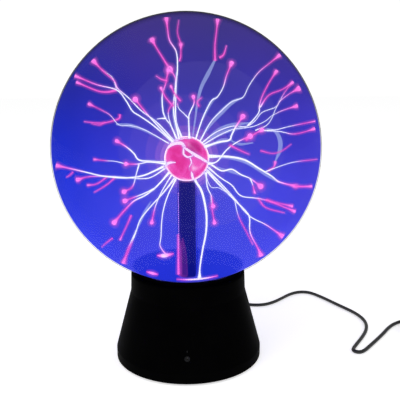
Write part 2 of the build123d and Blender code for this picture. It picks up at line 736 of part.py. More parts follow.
with BuildPart() as switch_body:
    with BuildSketch(REAR.offset(-SWITCH_BODY[2])):
        with Locations((-SWITCH_X, PANEL_Z)):
            Rectangle(SWITCH_BODY[0], SWITCH_BODY[1])
    extrude(amount=SWITCH_BODY[2])
    with BuildSketch(REAR):
        with Locations((-SWITCH_X, PANEL_Z)):
            RectangleRounded(SWITCH_BEZEL[0], SWITCH_BEZEL[1], BEZEL_CORNER)
    extrude(amount=SWITCH_BEZEL[2])
    chamfer(switch_body.edges().group_by(Axis.Y)[-1], BEZEL_EDGE)
    with BuildSketch(REAR.offset(-SWITCH_WELL)):
        with Locations((-SWITCH_X, PANEL_Z)):
            Rectangle(*SWITCH_WINDOW)
    extrude(amount=SWITCH_WELL + SWITCH_BEZEL[2], mode=Mode.SUBTRACT)
    with Locations((SWITCH_X, PANEL_Y - ROCKER_SINK, PANEL_Z)):
        Cylinder(TRUNNION_R + FIT, SWITCH_BODY[1], mode=Mode.SUBTRACT)
save("switch_body", switch_body.part)

TERMINAL_Y = PANEL_Y - SWITCH_BODY[2] - TERMINAL_SIZE[2]

with BuildPart(REAR.offset(-SWITCH_BODY[2])) as switch_terminals:
    with Locations((-SWITCH_X, PANEL_Z)):
        with GridLocations(TERMINAL_PITCH, 0, 3, 1):
            Box(*TERMINAL_SIZE, align=HANGING)
save("switch_terminals", switch_terminals.part)

ROCKER_END_X = ROCKER_R * cos(radians(ROCKER_TILT))
ROCKER_END_UP = ROCKER_R * sin(radians(ROCKER_TILT))

with BuildPart(Plane.XY.offset(PANEL_Z - ROCKER_W / 2)) as mode_rocker:
    with BuildSketch(
        Plane(origin=(SWITCH_X, PANEL_Y - ROCKER_SINK, PANEL_Z - ROCKER_W / 2))
    ):
        Circle(ROCKER_R)
        Polygon(
            (-ROCKER_END_X, ROCKER_END_UP),
            (0, ROCKER_DIP),
            (ROCKER_END_X, ROCKER_END_UP),
            (ROCKER_END_X, ROCKER_R + 1),
            (-ROCKER_END_X, ROCKER_R + 1),
            align=None,
            mode=Mode.SUBTRACT,
        )
        with Locations((0, -ROCKER_FLOOR)):
            Rectangle(
                2 * ROCKER_R + 1,
                ROCKER_R,
                align=(Align.CENTER, Align.MAX),
                mode=Mode.SUBTRACT,
            )
    extrude(amount=ROCKER_W)
    fillet(mode_rocker.edges().filter_by(Axis.Z).group_by(Axis.Y)[-1], ROCKER_EDGE)
    with Locations((SWITCH_X, PANEL_Y - ROCKER_SINK, ROCKER_W / 2)):
        Cylinder(TRUNNION_R, ROCKER_W + 2 * TRUNNION_L)
save("mode_rocker", mode_rocker.part)

# ---- DC jack: body, centre pin and the nut behind the panel ----

JACK_MOUTH_Y = PANEL_Y + JACK_FLANGE_T
SOCKET_FLOOR_Y = JACK_MOUTH_Y - SOCKET_DEPTH
jack_plane = Plane(origin=(JACK_X, PANEL_Y, PANEL_Z), x_dir=(-1, 0, 0), z_dir=(0, 1, 0))

with BuildPart(jack_plane) as jack_body:
    Cylinder(JACK_FLANGE_R, JACK_FLANGE_T, align=ON_TOP)
    Cylinder(JACK_THREAD_R, JACK_DEPTH, align=HANGING)
    chamfer(jack_body.edges().group_by(Axis.Y)[-1], JACK_EDGE)
    with Locations((0, 0, JACK_FLANGE_T)):
        Cylinder(JACK_BORE_R, SOCKET_DEPTH, align=HANGING, mode=Mode.SUBTRACT)
save("jack_body", jack_body.part)

with BuildPart(jack_plane.offset(JACK_FLANGE_T - SOCKET_DEPTH)) as jack_pin:
    Cylinder(PLUG_BORE_R - 2 * FIT, SOCKET_DEPTH - JACK_PIN_SHORT, align=ON_TOP)
save("jack_pin", jack_pin.part)

with BuildPart() as jack_nut:
    with BuildSketch(jack_plane.offset(-PANEL_T)):
        RegularPolygon(NUT_R, 6)
        Circle(JACK_THREAD_R + FIT, mode=Mode.SUBTRACT)
    extrude(amount=-NUT_T)
save("jack_nut", jack_nut.part)

with BuildPart(jack_plane.offset(-JACK_DEPTH)) as jack_tabs:
    with GridLocations(2 * JACK_TAB_OUT, 0, 2, 1):
        Box(*JACK_TAB_SIZE, align=HANGING)
save("jack_tabs", jack_tabs.part)

# ---- microphone: bezel in the wall, rubber boot behind it, capsule in the boot ----

with BuildPart(MIC_FACE) as mic_bezel:
    Cylinder(MIC_RING_R, MIC_RING_T, align=ON_TOP)
    fillet(mic_bezel.edges().group_by(Axis.Y)[0], MIC_RING_EDGE)
    Cylinder(MIC_BARREL_R, WALL, align=HANGING)
    Cylinder(PORT_R, 4 * WALL, mode=Mode.SUBTRACT)
save("mic_bezel", mic_bezel.part)

with BuildPart(MIC_FACE.offset(-WALL - 2 * FIT)) as mic_boot:
    Cylinder(BOOT_R, BOOT_L, align=HANGING)
    Cylinder(PORT_R, BOOT_L, align=HANGING, mode=Mode.SUBTRACT)
    with Locations((0, 0, -BOOT_LIP)):
        Cylinder(CAPSULE_R + FIT, BOOT_L, align=HANGING, mode=Mode.SUBTRACT)
save("mic_boot", mic_boot.part)

with BuildPart(MIC_FACE.offset(-WALL - BOOT_LIP - 3 * FIT)) as mic_capsule:
    Cylinder(CAPSULE_R, CAPSULE_L, align=HANGING)
save("mic_capsule", mic_capsule.part)

# ---- low-voltage wires from the switch, jack and microphone down to the board ----

JACK_TAB_END_Y = PANEL_Y - JACK_DEPTH - JACK_TAB_SIZE[2]

switch_wires = [
    lead(
        [
            (SWITCH_X + step * TERMINAL_PITCH, TERMINAL_Y, PANEL_Z),
            (SWITCH_X + step * TERMINAL_PITCH, WIRE_LANDING_Y, PANEL_Z),
            (SWITCH_X + step * TERMINAL_PITCH, WIRE_LANDING_Y, BOARD_TOP),
        ],
        WIRE_R,
    )[0]
    for step in (-1, 0, 1)
]
with BuildPart() as switch_leads:
    add(switch_wires)
save("switch_leads", switch_leads.part)

jack_wires = [
    lead(
        [
            (JACK_X + side * JACK_TAB_OUT, JACK_TAB_END_Y, PANEL_Z),
            (JACK_X + side * JACK_TAB_OUT, JACK_LANDING_Y, PANEL_Z),
            (JACK_X + side * JACK_TAB_OUT, JACK_LANDING_Y, BOARD_TOP),
        ],
        WIRE_R,
    )[0]
    for side in (-1, 1)
]
with BuildPart() as jack_leads:
    add(jack_wires)
save("jack_leads", jack_leads.part)

capsule_back = MIC_FACE.offset(-WALL - BOOT_LIP - 3 * FIT - CAPSULE_L)
MIC_WIRE_START_Y = capsule_back.origin.Y + MIC_WIRE_LAP
MIC_WIRE_START_Z = capsule_back.origin.Z - MIC_WIRE_DROP
mic_wires = [
    lead(
        [
            (side * MIC_WIRE_X, MIC_WIRE_START_Y, MIC_WIRE_START_Z),
            *((side * MIC_WIRE_X, y, z) for y, z in MIC_WIRE_ROUTE),
        ],
        WIRE_R / 2,
    )[0]
    for side in (-1, 1)
]
with BuildPart() as mic_leads:
    add(mic_wires)
    # trimmed square against the capsule
    with BuildSketch(capsule_back):
        Circle(BOOT_R)
    extrude(amount=2 * CAPSULE_L, mode=Mode.SUBTRACT)
save("mic_leads", mic_leads.part)

# ---- barrel plug: metal barrel and moulded grip with its strain relief ----

with BuildPart(jack_plane.offset(JACK_FLANGE_T + PLUG_GAP)) as plug_barrel:
    Cylinder(PLUG_R, SOCKET_DEPTH - PLUG_GAP, align=HANGING)
    Cylinder(PLUG_BORE_R, SOCKET_DEPTH, align=HANGING, mode=Mode.SUBTRACT)
save("plug_barrel", plug_barrel.part)

GRIP_START_Y = JACK_MOUTH_Y + PLUG_GAP

with BuildPart() as plug_grip:
    with BuildSketch(Plane(origin=(JACK_X, 0, PANEL_Z), x_dir=(1, 0, 0), z_dir=(0, 0, 1))):
        with BuildLine():
            Polyline(
                (0, GRIP_START_Y),
                (GRIP_R - GRIP_STEP, GRIP_START_Y),
                (GRIP_R, GRIP_START_Y + GRIP_SLOPE),
                (GRIP_R, GRIP_END_Y - GRIP_NOSE_L),
                (GRIP_R - GRIP_NOSE, GRIP_END_Y),
                (RELIEF_R, RELIEF_END_Y),
                (0, RELIEF_END_Y),
                close=True,
            )
        make_face()
    revolve(axis=Axis((JACK_X, 0, PANEL_Z), (0, 1, 0)))
    for groove in range(RELIEF_GROOVES):
        groove_y = GRIP_END_Y + GROOVE_START + groove * GROOVE_PITCH
        with BuildSketch(
            Plane(origin=(JACK_X, groove_y, PANEL_Z), x_dir=(1, 0, 0), z_dir=(0, 1, 0))
        ):
            Circle(GRIP_R)
            Circle(RELIEF_R - GROOVE_SKIN, mode=Mode.SUBTRACT)
        extrude(amount=GROOVE_W, mode=Mode.SUBTRACT)
save("plug_grip", plug_grip.part)

# ---- power cord: the run on the table, the put-away coil, its tie and the tail ----

power_cord, cord_length = lead(LEAD_ROUTE, CORD_R)
save("power_cord", power_cord)

with BuildPart() as cord_coil:
    with BuildSketch(Plane.XZ):
        with Locations(((COIL_IN_R + COIL_OUT_R) / 2, COIL_LOW_Z)):
            RectangleRounded(
                COIL_OUT_R - COIL_IN_R, COIL_H, CORD_R, align=(Align.CENTER, Align.MIN)
            )
    revolve(axis=Axis.Z)
cord_coil = Pos(COIL_X, COIL_Y, 0) * cord_coil.part
save("cord_coil", cord_coil)

TIE_PLANE = Plane(
    origin=(COIL_X, COIL_Y, 0),
    x_dir=(cos(radians(COIL_TIE_TURN)), sin(radians(COIL_TIE_TURN)), 0),
    z_dir=(sin(radians(COIL_TIE_TURN)), -cos(radians(COIL_TIE_TURN)), 0),
)
TIE_HOLE = (COIL_OUT_R - COIL_IN_R + TIE_GAP_X, COIL_H + TIE_GAP_Z)
tie_middle = ((COIL_IN_R + COIL_OUT_R) / 2, TIE_T + TIE_HOLE[1] / 2)
with BuildPart() as cord_tie:
    with BuildSketch(TIE_PLANE.offset(-TIE_W / 2)):
        with Locations(tie_middle):
            RectangleRounded(
                TIE_HOLE[0] + 2 * TIE_T, TIE_HOLE[1] + 2 * TIE_T, TIE_CORNER + TIE_T
            )
            RectangleRounded(*TIE_HOLE, TIE_CORNER, mode=Mode.SUBTRACT)
    extrude(amount=TIE_W)
save("cord_tie", cord_tie.part)

cord_tail, tail_length = lead(TAIL_ROUTE, CORD_R)
save("cord_tail", cord_tail)

# ---- wall adapter: case, cover with its blades, converter board and strain relief ----

shell = cushion(*ADAPTER_SIZE, ADAPTER_CORNER, ADAPTER_EDGE)
hollow = cushion(
    *(side - 2 * ADAPTER_WALL for side in ADAPTER_SIZE),
    ADAPTER_CORNER - ADAPTER_WALL,
    ADAPTER_EDGE / 3,
)

with BuildPart() as adapter_blank:
    add(Pos(ADAPTER_X, ADAPTER_Y, 0) * shell)
    add(Pos(ADAPTER_X, ADAPTER_Y, ADAPTER_WALL) * hollow, mode=Mode.SUBTRACT)

with BuildPart() as adapter_case:
    add(adapter_blank.part)
    split(bisect_by=Plane.XY.offset(ADAPTER_SPLIT_Z), keep=Keep.BOTTOM)
save("adapter_case", adapter_case.part)

blade_xs = [ADAPTER_X - BLADE_GAP / 2, ADAPTER_X + BLADE_GAP / 2]
BLADE_FOOT_Z = ADAPTER_SIZE[2] - ADAPTER_WALL

with BuildPart() as adapter_cover:
    add(adapter_blank.part)
    split(bisect_by=Plane.XY.offset(ADAPTER_SPLIT_Z), keep=Keep.TOP)
    with BuildSketch(Plane.XY.offset(BLADE_FOOT_Z)):
        with Locations(*[(x, ADAPTER_Y) for x in blade_xs]):
            Rectangle(BLADE_SIZE[0] + 2 * FIT, BLADE_SIZE[1] + 2 * FIT)
    extrude(amount=ADAPTER_WALL, mode=Mode.SUBTRACT)
save("adapter_cover", adapter_cover.part)

with BuildPart(Plane.XY.offset(BLADE_FOOT_Z)) as adapter_blades:
    with Locations(*[(x, ADAPTER_Y) for x in blade_xs]):
        Box(BLADE_SIZE[0], BLADE_SIZE[1], BLADE_SIZE[2] + ADAPTER_WALL, align=ON_TOP)
    chamfer(adapter_blades.edges().group_by(Axis.Z)[-1], BLADE_EDGE)
save("adapter_blades", adapter_blades.part)

with BuildPart(Plane.XY.offset(ADAPTER_WALL)) as adapter_board:
    with Locations((ADAPTER_X, ADAPTER_Y)):
        Box(
            ADAPTER_SIZE[0] - 2 * ADAPTER_BOARD_GAP,
            ADAPTER_SIZE[1] - 2 * ADAPTER_BOARD_GAP,
            BOARD_T,
            align=ON_TOP,
        )
    with Locations((ADAPTER_X, ADAPTER_Y + CONVERTER_Y, BOARD_T)):
        Box(*CONVERTER_SIZE, align=ON_TOP)
    with Locations((ADAPTER_X + RESERVOIR_X, ADAPTER_Y + RESERVOIR_Y, BOARD_T)):
        Cylinder(RESERVOIR_R, RESERVOIR_H, align=ON_TOP)
save("adapter_board", adapter_board.part)

ADAPTER_END_Y = ADAPTER_Y + ADAPTER_SIZE[1] / 2
TAIL_END_Y = TAIL_ROUTE[-1][1]

with BuildPart() as adapter_relief:
    with BuildSketch(
        Plane(origin=(ADAPTER_X, ADAPTER_END_Y, ADAPTER_LEAD_Z), x_dir=(1, 0, 0), z_dir=(0, 1, 0))
    ):
        Circle(ADAPTER_RELIEF_R)
    with BuildSketch(
        Plane(origin=(ADAPTER_X, TAIL_END_Y, ADAPTER_LEAD_Z), x_dir=(1, 0, 0), z_dir=(0, 1, 0))
    ):
        Circle(RELIEF_R)
    loft()
save("adapter_relief", adapter_relief.part)

# ---- what the cord measures ----

section = pi * CORD_R**2
for name, cord, length, route in (
    ("power_cord", power_cord, cord_length, LEAD_ROUTE),
    ("cord_tail", cord_tail, tail_length, TAIL_ROUTE),
):
    radii = [round(radius, 1) for radius in corner_radii(route)]
    filling = cord.volume / section / length
    print(f"{name}: {length:.1f} mm, volume / (section x length) {filling:.4f}")
    print(f"  corner radii {radii}")
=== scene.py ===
"""Plasma ball lamp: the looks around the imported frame.

Metres, in the frame's axes: +Z up, the front towards -Y. The origin is on the table, under the globe.
"""

from math import cos, pi, radians, sin, sqrt

import bmesh
import bpy
from mathutils import Matrix, Vector


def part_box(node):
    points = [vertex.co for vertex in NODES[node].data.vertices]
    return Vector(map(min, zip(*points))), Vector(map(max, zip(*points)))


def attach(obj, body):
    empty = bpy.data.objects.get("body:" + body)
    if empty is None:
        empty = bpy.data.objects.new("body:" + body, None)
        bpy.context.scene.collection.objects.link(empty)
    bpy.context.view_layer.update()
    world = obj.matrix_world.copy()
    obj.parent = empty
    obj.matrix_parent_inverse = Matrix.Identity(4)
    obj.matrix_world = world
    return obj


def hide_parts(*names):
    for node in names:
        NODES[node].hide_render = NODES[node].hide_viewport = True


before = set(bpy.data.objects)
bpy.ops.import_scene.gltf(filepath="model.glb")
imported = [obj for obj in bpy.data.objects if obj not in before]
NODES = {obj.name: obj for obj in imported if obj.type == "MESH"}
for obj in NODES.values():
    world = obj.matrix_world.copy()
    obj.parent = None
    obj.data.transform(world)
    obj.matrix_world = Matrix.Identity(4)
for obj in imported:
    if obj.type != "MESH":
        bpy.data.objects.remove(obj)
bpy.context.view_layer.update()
SCENE = bpy.context.scene
BODY = "lamp"
MM = 0.001

# ---- camera ----

EYE = Vector((0.00984, -0.45906, 0.21788))
PITCH = radians(11.51)
ROLL = radians(-0.36)
LENS = 55.02
SENSOR = 36.0

ahead = Vector((0, cos(PITCH), -sin(PITCH)))
level_up = Vector((0, sin(PITCH), cos(PITCH)))
RIGHT = Vector((1, 0, 0)) * cos(ROLL) + level_up * sin(ROLL)
UP = Vector((-1, 0, 0)) * sin(ROLL) + level_up * cos(ROLL)

camera = bpy.data.objects.new("camera", bpy.data.cameras.new("camera"))
camera.data.lens = LENS
camera.data.sensor_width = SENSOR
camera.data.clip_start = 0.01
camera.matrix_world = Matrix.Translation(EYE) @ Matrix((RIGHT, UP, -ahead)).transposed().to_4x4()
SCENE.collection.objects.link(camera)
SCENE.camera = camera

# ---- where things are, from the frame ----

low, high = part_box("glass_globe")
GLOBE_R = (high.x - low.x) / 2
GLOBE = Vector((0, 0, high.z - GLOBE_R))
GLASS_WALL = 0.002
DISCHARGE_GAP = 0.0008  # the discharges end this far short of the glass's inner face
INNER_R = GLOBE_R - GLASS_WALL - DISCHARGE_GAP
low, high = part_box("glass_stem")
BULB_R = 0.0168
BULB = Vector((0, 0, high.z - BULB_R))
HUB_DROP = 0.0010
HUB = BULB - Vector((0, 0, HUB_DROP))  # where the discharges seem to start

# ---- node helpers ----


def material(name, blended=False):
    """A new empty material: its node tree, its output and a function that adds nodes."""
    made = bpy.data.materials.new(name)
    made.use_nodes = True
    tree = made.node_tree
    tree.nodes.clear()
    output = tree.nodes.new("ShaderNodeOutputMaterial")
    if blended:
        made.surface_render_method = "BLENDED"

    def node(kind, **inputs):
        new = tree.nodes.new("ShaderNode" + kind)
        for key, value in inputs.items():
            if hasattr(new, key) and key not in new.inputs:
                setattr(new, key, value)
                continue
            socket = new.inputs[int(key[1:])] if key[0] == "i" and key[1:].isdigit() else new.inputs[key]
            if isinstance(value, bpy.types.NodeSocket):
                tree.links.new(value, socket)
            else:
                socket.default_value = value
        return new

    return made, output, node, tree


def ramp(node, source, stops):
    """A colour ramp over source, with stops of (position, (r, g, b))."""
    made = node("ValToRGB", Fac=source)
    elements = made.color_ramp.elements
    while len(elements) < len(stops):
        elements.new(0.5)
    for element, (position, colour) in zip(elements, stops):
        element.position = position
        element.color = (*colour, 1)
    return made.outputs["Color"]


BROAD_SCALE = 55.0  # of the blotches in colour and gloss
GLOSS_SWING = 0.12
RELIEF_DEPTH = 0.0002
COLOUR_SWING = 0.25


def moulded(name, colour, rough, metal=0.0, grain=0.0006, bump=0.08, spec=0.5):
    """A solid surface with a fine grain, slightly uneven colour and uneven gloss."""
    made, output, node, tree = material(name)
    place = node("TexCoord").outputs["Object"]
    fine = node("TexNoise", Vector=place, Scale=1 / grain, Detail=4.0, Roughness=0.6)
    broad = node("TexNoise", Vector=place, Scale=BROAD_SCALE, Detail=3.0, Roughness=0.55)
    dark = [part * (1 - COLOUR_SWING) for part in colour]
    light = [min(part * (1 + COLOUR_SWING), 1) for part in colour]
    shade = ramp(node, broad.outputs["Fac"], [(0.32, dark), (0.68, light)])
    gloss = node(
        "MapRange",
        Value=broad.outputs["Fac"],
        i1=0.3,
        i2=0.7,
        i3=rough * (1 - GLOSS_SWING),
        i4=min(rough * (1 + GLOSS_SWING), 1),
    )
    relief = node("Bump", Strength=bump, Distance=RELIEF_DEPTH, Height=fine.outputs["Fac"])
    shader = node("BsdfPrincipled", Roughness=gloss.outputs["Result"], Normal=relief.outputs["Normal"])
    shader.inputs["Base Color"].default_value = (*colour, 1)
    shader.inputs["Metallic"].default_value = metal
    shader.inputs["Specular IOR Level"].default_value = spec
    tree.links.new(shade, shader.inputs["Base Color"])
    tree.links.new(shader.outputs["BSDF"], output.inputs["Surface"])
    return made


def dress(made, *names):
    """Gives CAD nodes a material."""
    for name in names:
        NODES[name].data.materials.clear()
        NODES[name].data.materials.append(made)


def add_piece(name, mesh, made, smooth=True):
    """A new piece of the lamp from a mesh."""
    piece = bpy.data.objects.new(name, mesh)
    SCENE.collection.objects.link(piece)
    mesh.materials.append(made)
    if smooth:
        mesh.polygons.foreach_set("use_smooth", [True] * len(mesh.polygons))
    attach(piece, BODY)
    return piece


# ---- plain materials for the frame's own pieces ----

dress(
    moulded("base_black", (0.0008, 0.0008, 0.0009), 0.5, grain=0.0005, bump=0.04, spec=0.004),
    "base_housing",
)
dress(moulded("plate_black", (0.010, 0.010, 0.011), 0.55, grain=0.0004, bump=0.12), "base_plate")
dress(moulded("foam_black", (0.001, 0.001, 0.002), 0.9, grain=0.0003, bump=0.5, spec=0.01), "globe_gasket")
dress(moulded("rubber_black", (0.014, 0.014, 0.015), 0.75, grain=0.0004, bump=0.2), "rubber_feet", "mic_boot")
dress(moulded("clamp_grey", (0.20, 0.20, 0.21), 0.5), "neck_clamp")
dress(
    moulded("screw_steel", (0.52, 0.52, 0.54), 0.32, metal=1.0, grain=0.0002, bump=0.05),
    "plate_screws",
    "clamp_screws",
    "board_screws",
    "transistor_screw",
)
dress(
    moulded("board_green", (0.02, 0.16, 0.06), 0.4, grain=0.0009, bump=0.2),
    "circuit_board",
    "adapter_board",
)
dress(moulded("ferrite_grey", (0.06, 0.06, 0.065), 0.6, bump=0.2), "flyback_core")
dress(moulded("potting_black", (0.015, 0.015, 0.017), 0.25), "flyback_winding")
dress(moulded("sink_aluminium", (0.55, 0.56, 0.58), 0.4, metal=1.0), "heatsink")
dress(moulded("epoxy_black", (0.012, 0.012, 0.013), 0.55), "power_transistor", "control_chip")
dress(moulded("can_blue", (0.02, 0.03, 0.12), 0.3), "capacitors")
dress(moulded("silicone_red", (0.35, 0.03, 0.02), 0.45), "hv_lead")
dress(moulded("wire_black", (0.02, 0.02, 0.02), 0.5), "switch_leads", "jack_leads", "mic_leads")
dress(moulded("switch_black", (0.012, 0.012, 0.013), 0.5), "switch_body")
dress(moulded("rocker_black", (0.016, 0.016, 0.018), 0.24, bump=0.03), "mode_rocker")
dress(
    moulded("tinned_brass", (0.62, 0.58, 0.48), 0.3, metal=1.0),
    "switch_terminals",
    "jack_tabs",
    "jack_pin",
)
dress(moulded("jack_black", (0.014, 0.014, 0.014), 0.3), "jack_body")
dress(
    moulded("nickel", (0.62, 0.61, 0.58), 0.2, metal=1.0, bump=0.03),
    "jack_nut",
    "plug_barrel",
    "adapter_blades",
    "mic_capsule",
)
dress(moulded("bezel_black", (0.008, 0.008, 0.009), 0.4, spec=0.1), "mic_bezel")
dress(
    moulded("plug_black", (0.012, 0.012, 0.013), 0.5, grain=0.0004, bump=0.1),
    "plug_grip",
    "adapter_relief",
)
dress(moulded("tie_black", (0.02, 0.02, 0.02), 0.45), "cord_tie")
dress(
    moulded("adapter_black", (0.014, 0.014, 0.015), 0.5, grain=0.0006, bump=0.25),
    "adapter_case",
    "adapter_cover",
)
dress(moulded("sleeve_navy", (0.006, 0.005, 0.05), 0.5), "stem_sleeve")

# ---- the power lead: the same route as its solids, then the put-away coil and the tail ----

CORD_R = 1.5
LEAD = [
    (13.0, 76.0, 22.0),
    (13.0, 84.5, 22.0),
    (13.4, 94.0, 18.6),
    (15.6, 102.0, 11.2),
    (21.5, 107.6, 5.0),
    (30.6, 108.8, 1.6),
    (40.6, 105.4, 1.6),
    (50.6, 99.6, 1.6),
    (61.0, 95.6, 1.6),
    (71.5, 96.8, 1.6),
    (81.0, 103.4, 1.6),
    (89.8, 113.4, 1.6),
    (97.4, 122.6, 1.6),
    (105.0, 129.2, 1.6),
    (113.0, 131.8, 1.6),
    (120.3, 129.5, 1.6),
    (126.0, 122.3, 1.6),
    (132.3, 112.2, 1.6),
    (138.5, 100.4, 1.6),
    (145.4, 88.2, 1.6),
    (152.0, 76.4, 1.6),
    (156.2, 63.2, 1.6),
    (156.6, 49.6, 1.6),
    (152.8, 35.6, 1.6),
    (146.2, 22.6, 1.6),
    (139.4, 11.2, 1.6),
    (133.4, 1.2, 1.6),
    (131.3, -4.2, 1.6),
    (135.2, -7.6, 1.6),
    (140.2, -5.0, 1.6),
    (146.8, 3.6, 1.6),
    (155.5, 15.0, 1.6),
    (164.8, 27.6, 1.6),
    (174.0, 41.5, 1.6),
    (183.6, 51.4, 1.6),
    (195.5, 56.4, 2.0),
]
TAIL = [
    (229.8, 25.0, 9.6),
    (229.9, 16.0, 6.0),
    (229.2, 7.0, 3.2),
    (227.6, -1.8, 4.6),
    (226.0, -10.0, 8.0),
    (226.0, -18.0, 8.0),
]
COIL_MIDDLE = (208.0, 34.0)
STEPS = 16  # points in each turn
# (turns, first radius, last radius, first height, last height)
WINDING = [
    (3.0, 21.0, 12.0, 2.4, 2.4),
    (0.25, 12.0, 12.0, 2.4, 5.5),
    (3.0, 12.0, 21.0, 5.5, 5.5),
    (0.25, 21.0, 21.0, 5.5, 8.6),
    (2.0, 21.0, 15.0, 8.6, 8.6),
    (0.25, 15.0, 15.0, 8.6, 11.7),
    (1.5, 15.0, 21.0, 11.7, 11.7),
]


def coil_points():
    """The coil's turns, clockwise from its far side, in millimetres."""
    points, turned = [], 0.0
    for turns, first_r, last_r, first_z, last_z in WINDING:
        count = round(turns * STEPS)
        for step in range(count):
            part = step / count
            angle = pi / 2 - 2 * pi * (turned + turns * part)
            radius = first_r + (last_r - first_r) * part
            points.append(
                (
                    COIL_MIDDLE[0] + radius * cos(angle),
                    COIL_MIDDLE[1] + radius * sin(angle),
                    first_z + (last_z - first_z) * part,
                )
            )
        turned += turns
    points.append((COIL_MIDDLE[0] + WINDING[-1][2], COIL_MIDDLE[1], WINDING[-1][4]))
    return points


cord_curve = bpy.data.curves.new("power_lead", "CURVE")
cord_curve.dimensions = "3D"
cord_curve.bevel_depth = CORD_R * MM
cord_curve.bevel_resolution = 4
cord_curve.resolution_u = 6
cord_curve.use_fill_caps = True
cord_line = cord_curve.splines.new("NURBS")
cord_points = LEAD + coil_points() + TAIL
cord_line.points.add(len(cord_points) - 1)
for point, place in zip(cord_line.points, cord_points):
    point.co = (*(Vector(place) * MM), 1)
cord_line.order_u = 3
cord_line.use_endpoint_u = True
power_lead = bpy.data.objects.new("power_lead", cord_curve)
SCENE.collection.objects.link(power_lead)
cord_curve.materials.append(moulded("cord_black", (0.012, 0.012, 0.013), 0.42, grain=0.0005, bump=0.05))
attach(power_lead, BODY)
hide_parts("power_cord", "cord_coil", "cord_tail")

# ---- the small raised mark on the base, over the microphone's ring ----

MARK_HALF = (0.00035, 0.00025, 0.0009)  # half sizes of the drop-shaped mark
MARK_RISE = 0.0032  # over the top of the ring
MARK_SUNK = 0.0004  # how far its middle is behind the ring's front, beyond the wall's lean
CONE_LEAN = 0.268  # how far the cone's wall leans back as it rises


def mic_mark():
    """A small raised drop on the sloping wall."""
    ring_low, ring_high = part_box("mic_bezel")
    mark_z = ring_high.z + MARK_RISE
    mark_y = ring_low.y + CONE_LEAN * (mark_z - (ring_low.z + ring_high.z) / 2) + MARK_SUNK
    mesh = bpy.data.meshes.new("mic_mark")
    build = bmesh.new()
    bmesh.ops.create_uvsphere(build, u_segments=16, v_segments=12, radius=1.0)
    bmesh.ops.scale(build, verts=build.verts, vec=MARK_HALF)
    bmesh.ops.translate(build, verts=build.verts, vec=(0, mark_y, mark_z))
    build.to_mesh(mesh)
    build.free()
    add_piece("mic_mark", mesh, moulded("mark_black", (0.008, 0.008, 0.009), 0.4, spec=0.1))


mic_mark()

# ---- glass ----


def clear_glass(name, tint, edge, shade_from, mirror, middle=None, radius=None, top_shade=0.0):
    """Thin clear glass: light goes straight through, it mirrors a little, and painted shade darkens its
    outline, reaching further in towards the top of the globe if so set.

    With a middle and a radius, only the surface outside that ball mirrors and takes the painted shade.
    """
    made, output, node, tree = material(name, blended=True)
    place = node("TexCoord").outputs["Object"]
    facing = node("LayerWeight", Blend=0.5).outputs["Facing"]
    height = node("SeparateXYZ", Vector=place).outputs["Z"]
    start = node(
        "MapRange", Value=height, i1=GLOBE.z, i2=GLOBE.z + GLOBE_R, i3=shade_from, i4=shade_from - top_shade
    )
    rim = node("MapRange", interpolation_type="SMOOTHSTEP", Value=facing, i1=start.outputs[0], i2=1.0)
    steep = node("Math", operation="POWER", i0=facing, i1=5.0)
    share = node("MapRange", Value=steep.outputs[0], i3=mirror / 8, i4=mirror)
    painted_shade_share, shine = rim.outputs[0], share.outputs[0]
    if middle is not None:
        apart = node("VectorMath", operation="DISTANCE", i0=place, i1=tuple(middle)).outputs["Value"]
        outside = node("Math", operation="GREATER_THAN", i0=apart, i1=radius).outputs[0]
        painted_shade_share = node("Math", operation="MULTIPLY", i0=painted_shade_share, i1=outside).outputs[0]
        shine = node("Math", operation="MULTIPLY", i0=shine, i1=outside).outputs[0]
    through = node("BsdfTransparent", Color=(*tint, 1))
    # painted shade: a dark colour laid on the glass where it is seen edge-on
    dark = node("BsdfDiffuse", Color=(*edge, 1))
    body = node("MixShader", i0=painted_shade_share, i1=through.outputs[0], i2=dark.outputs[0])
    gloss = node("BsdfGlossy", Color=(1, 1, 1, 1), Roughness=0.02)
    whole = node("MixShader", i0=shine, i1=body.outputs[0], i2=gloss.outputs[0])
    tree.links.new(whole.outputs[0], output.inputs["Surface"])
    return made


# the globe's glass, with painted shade at its outline that reaches further in towards its top
globe_look = clear_glass(
    "globe_glass",
    tint=(1, 1, 1),
    edge=(0.001, 0.001, 0.012),
    shade_from=0.88,
    mirror=0.03,
    middle=GLOBE,
    radius=GLOBE_R - GLASS_WALL / 2,
    top_shade=0.22,
)
dress(globe_look, "glass_globe")
# the stem's glass, with a deep navy painted shade at its outline
dress(clear_glass("stem_glass", (0.9, 0.88, 1.0), (0.01, 0.006, 0.12), 0.6, 0.02), "glass_stem")

# ---- the lit gas: a thin glow on the near side and a deep one on the far side ----

# Both glows are drawn within the thickness of the glass.
FAR_GLOW_R = GLOBE_R - 0.0007
NEAR_GLOW_R = FAR_GLOW_R - 0.0006
NEAR_GLOW_FOOT_Z = 0.0655
NEAR_GLOW_SHARE = 0.22


def ball_mesh(name, radius, middle, inward=False, bottom=None, level=6):
    """A fine ball, cut off flat below bottom, with its faces outward or inward."""
    mesh = bpy.data.meshes.new(name)
    build = bmesh.new()
    bmesh.ops.create_icosphere(build, subdivisions=level, radius=radius)
    bmesh.ops.translate(build, verts=build.verts, vec=middle)
    if bottom is not None:
        bmesh.ops.bisect_plane(
            build,
            geom=build.verts[:] + build.edges[:] + build.faces[:],
            plane_co=(0, 0, bottom),
            plane_no=(0, 0, -1),
            clear_outer=True,
        )
    if inward:
        bmesh.ops.reverse_faces(build, faces=build.faces)
    build.to_mesh(mesh)
    build.free()
    return mesh


def height_colour(node, stops):
    """A colour that changes with height: stops of (height in metres, (r, g, b))."""
    place = node("SeparateXYZ", Vector=node("TexCoord").outputs["Object"])
    lowest, highest = stops[0][0], stops[-1][0]
    share = node("MapRange", Value=place.outputs["Z"], i1=lowest, i2=highest)
    scaled = [((z - lowest) / (highest - lowest), colour) for z, colour in stops]
    return ramp(node, share.outputs["Result"], scaled)


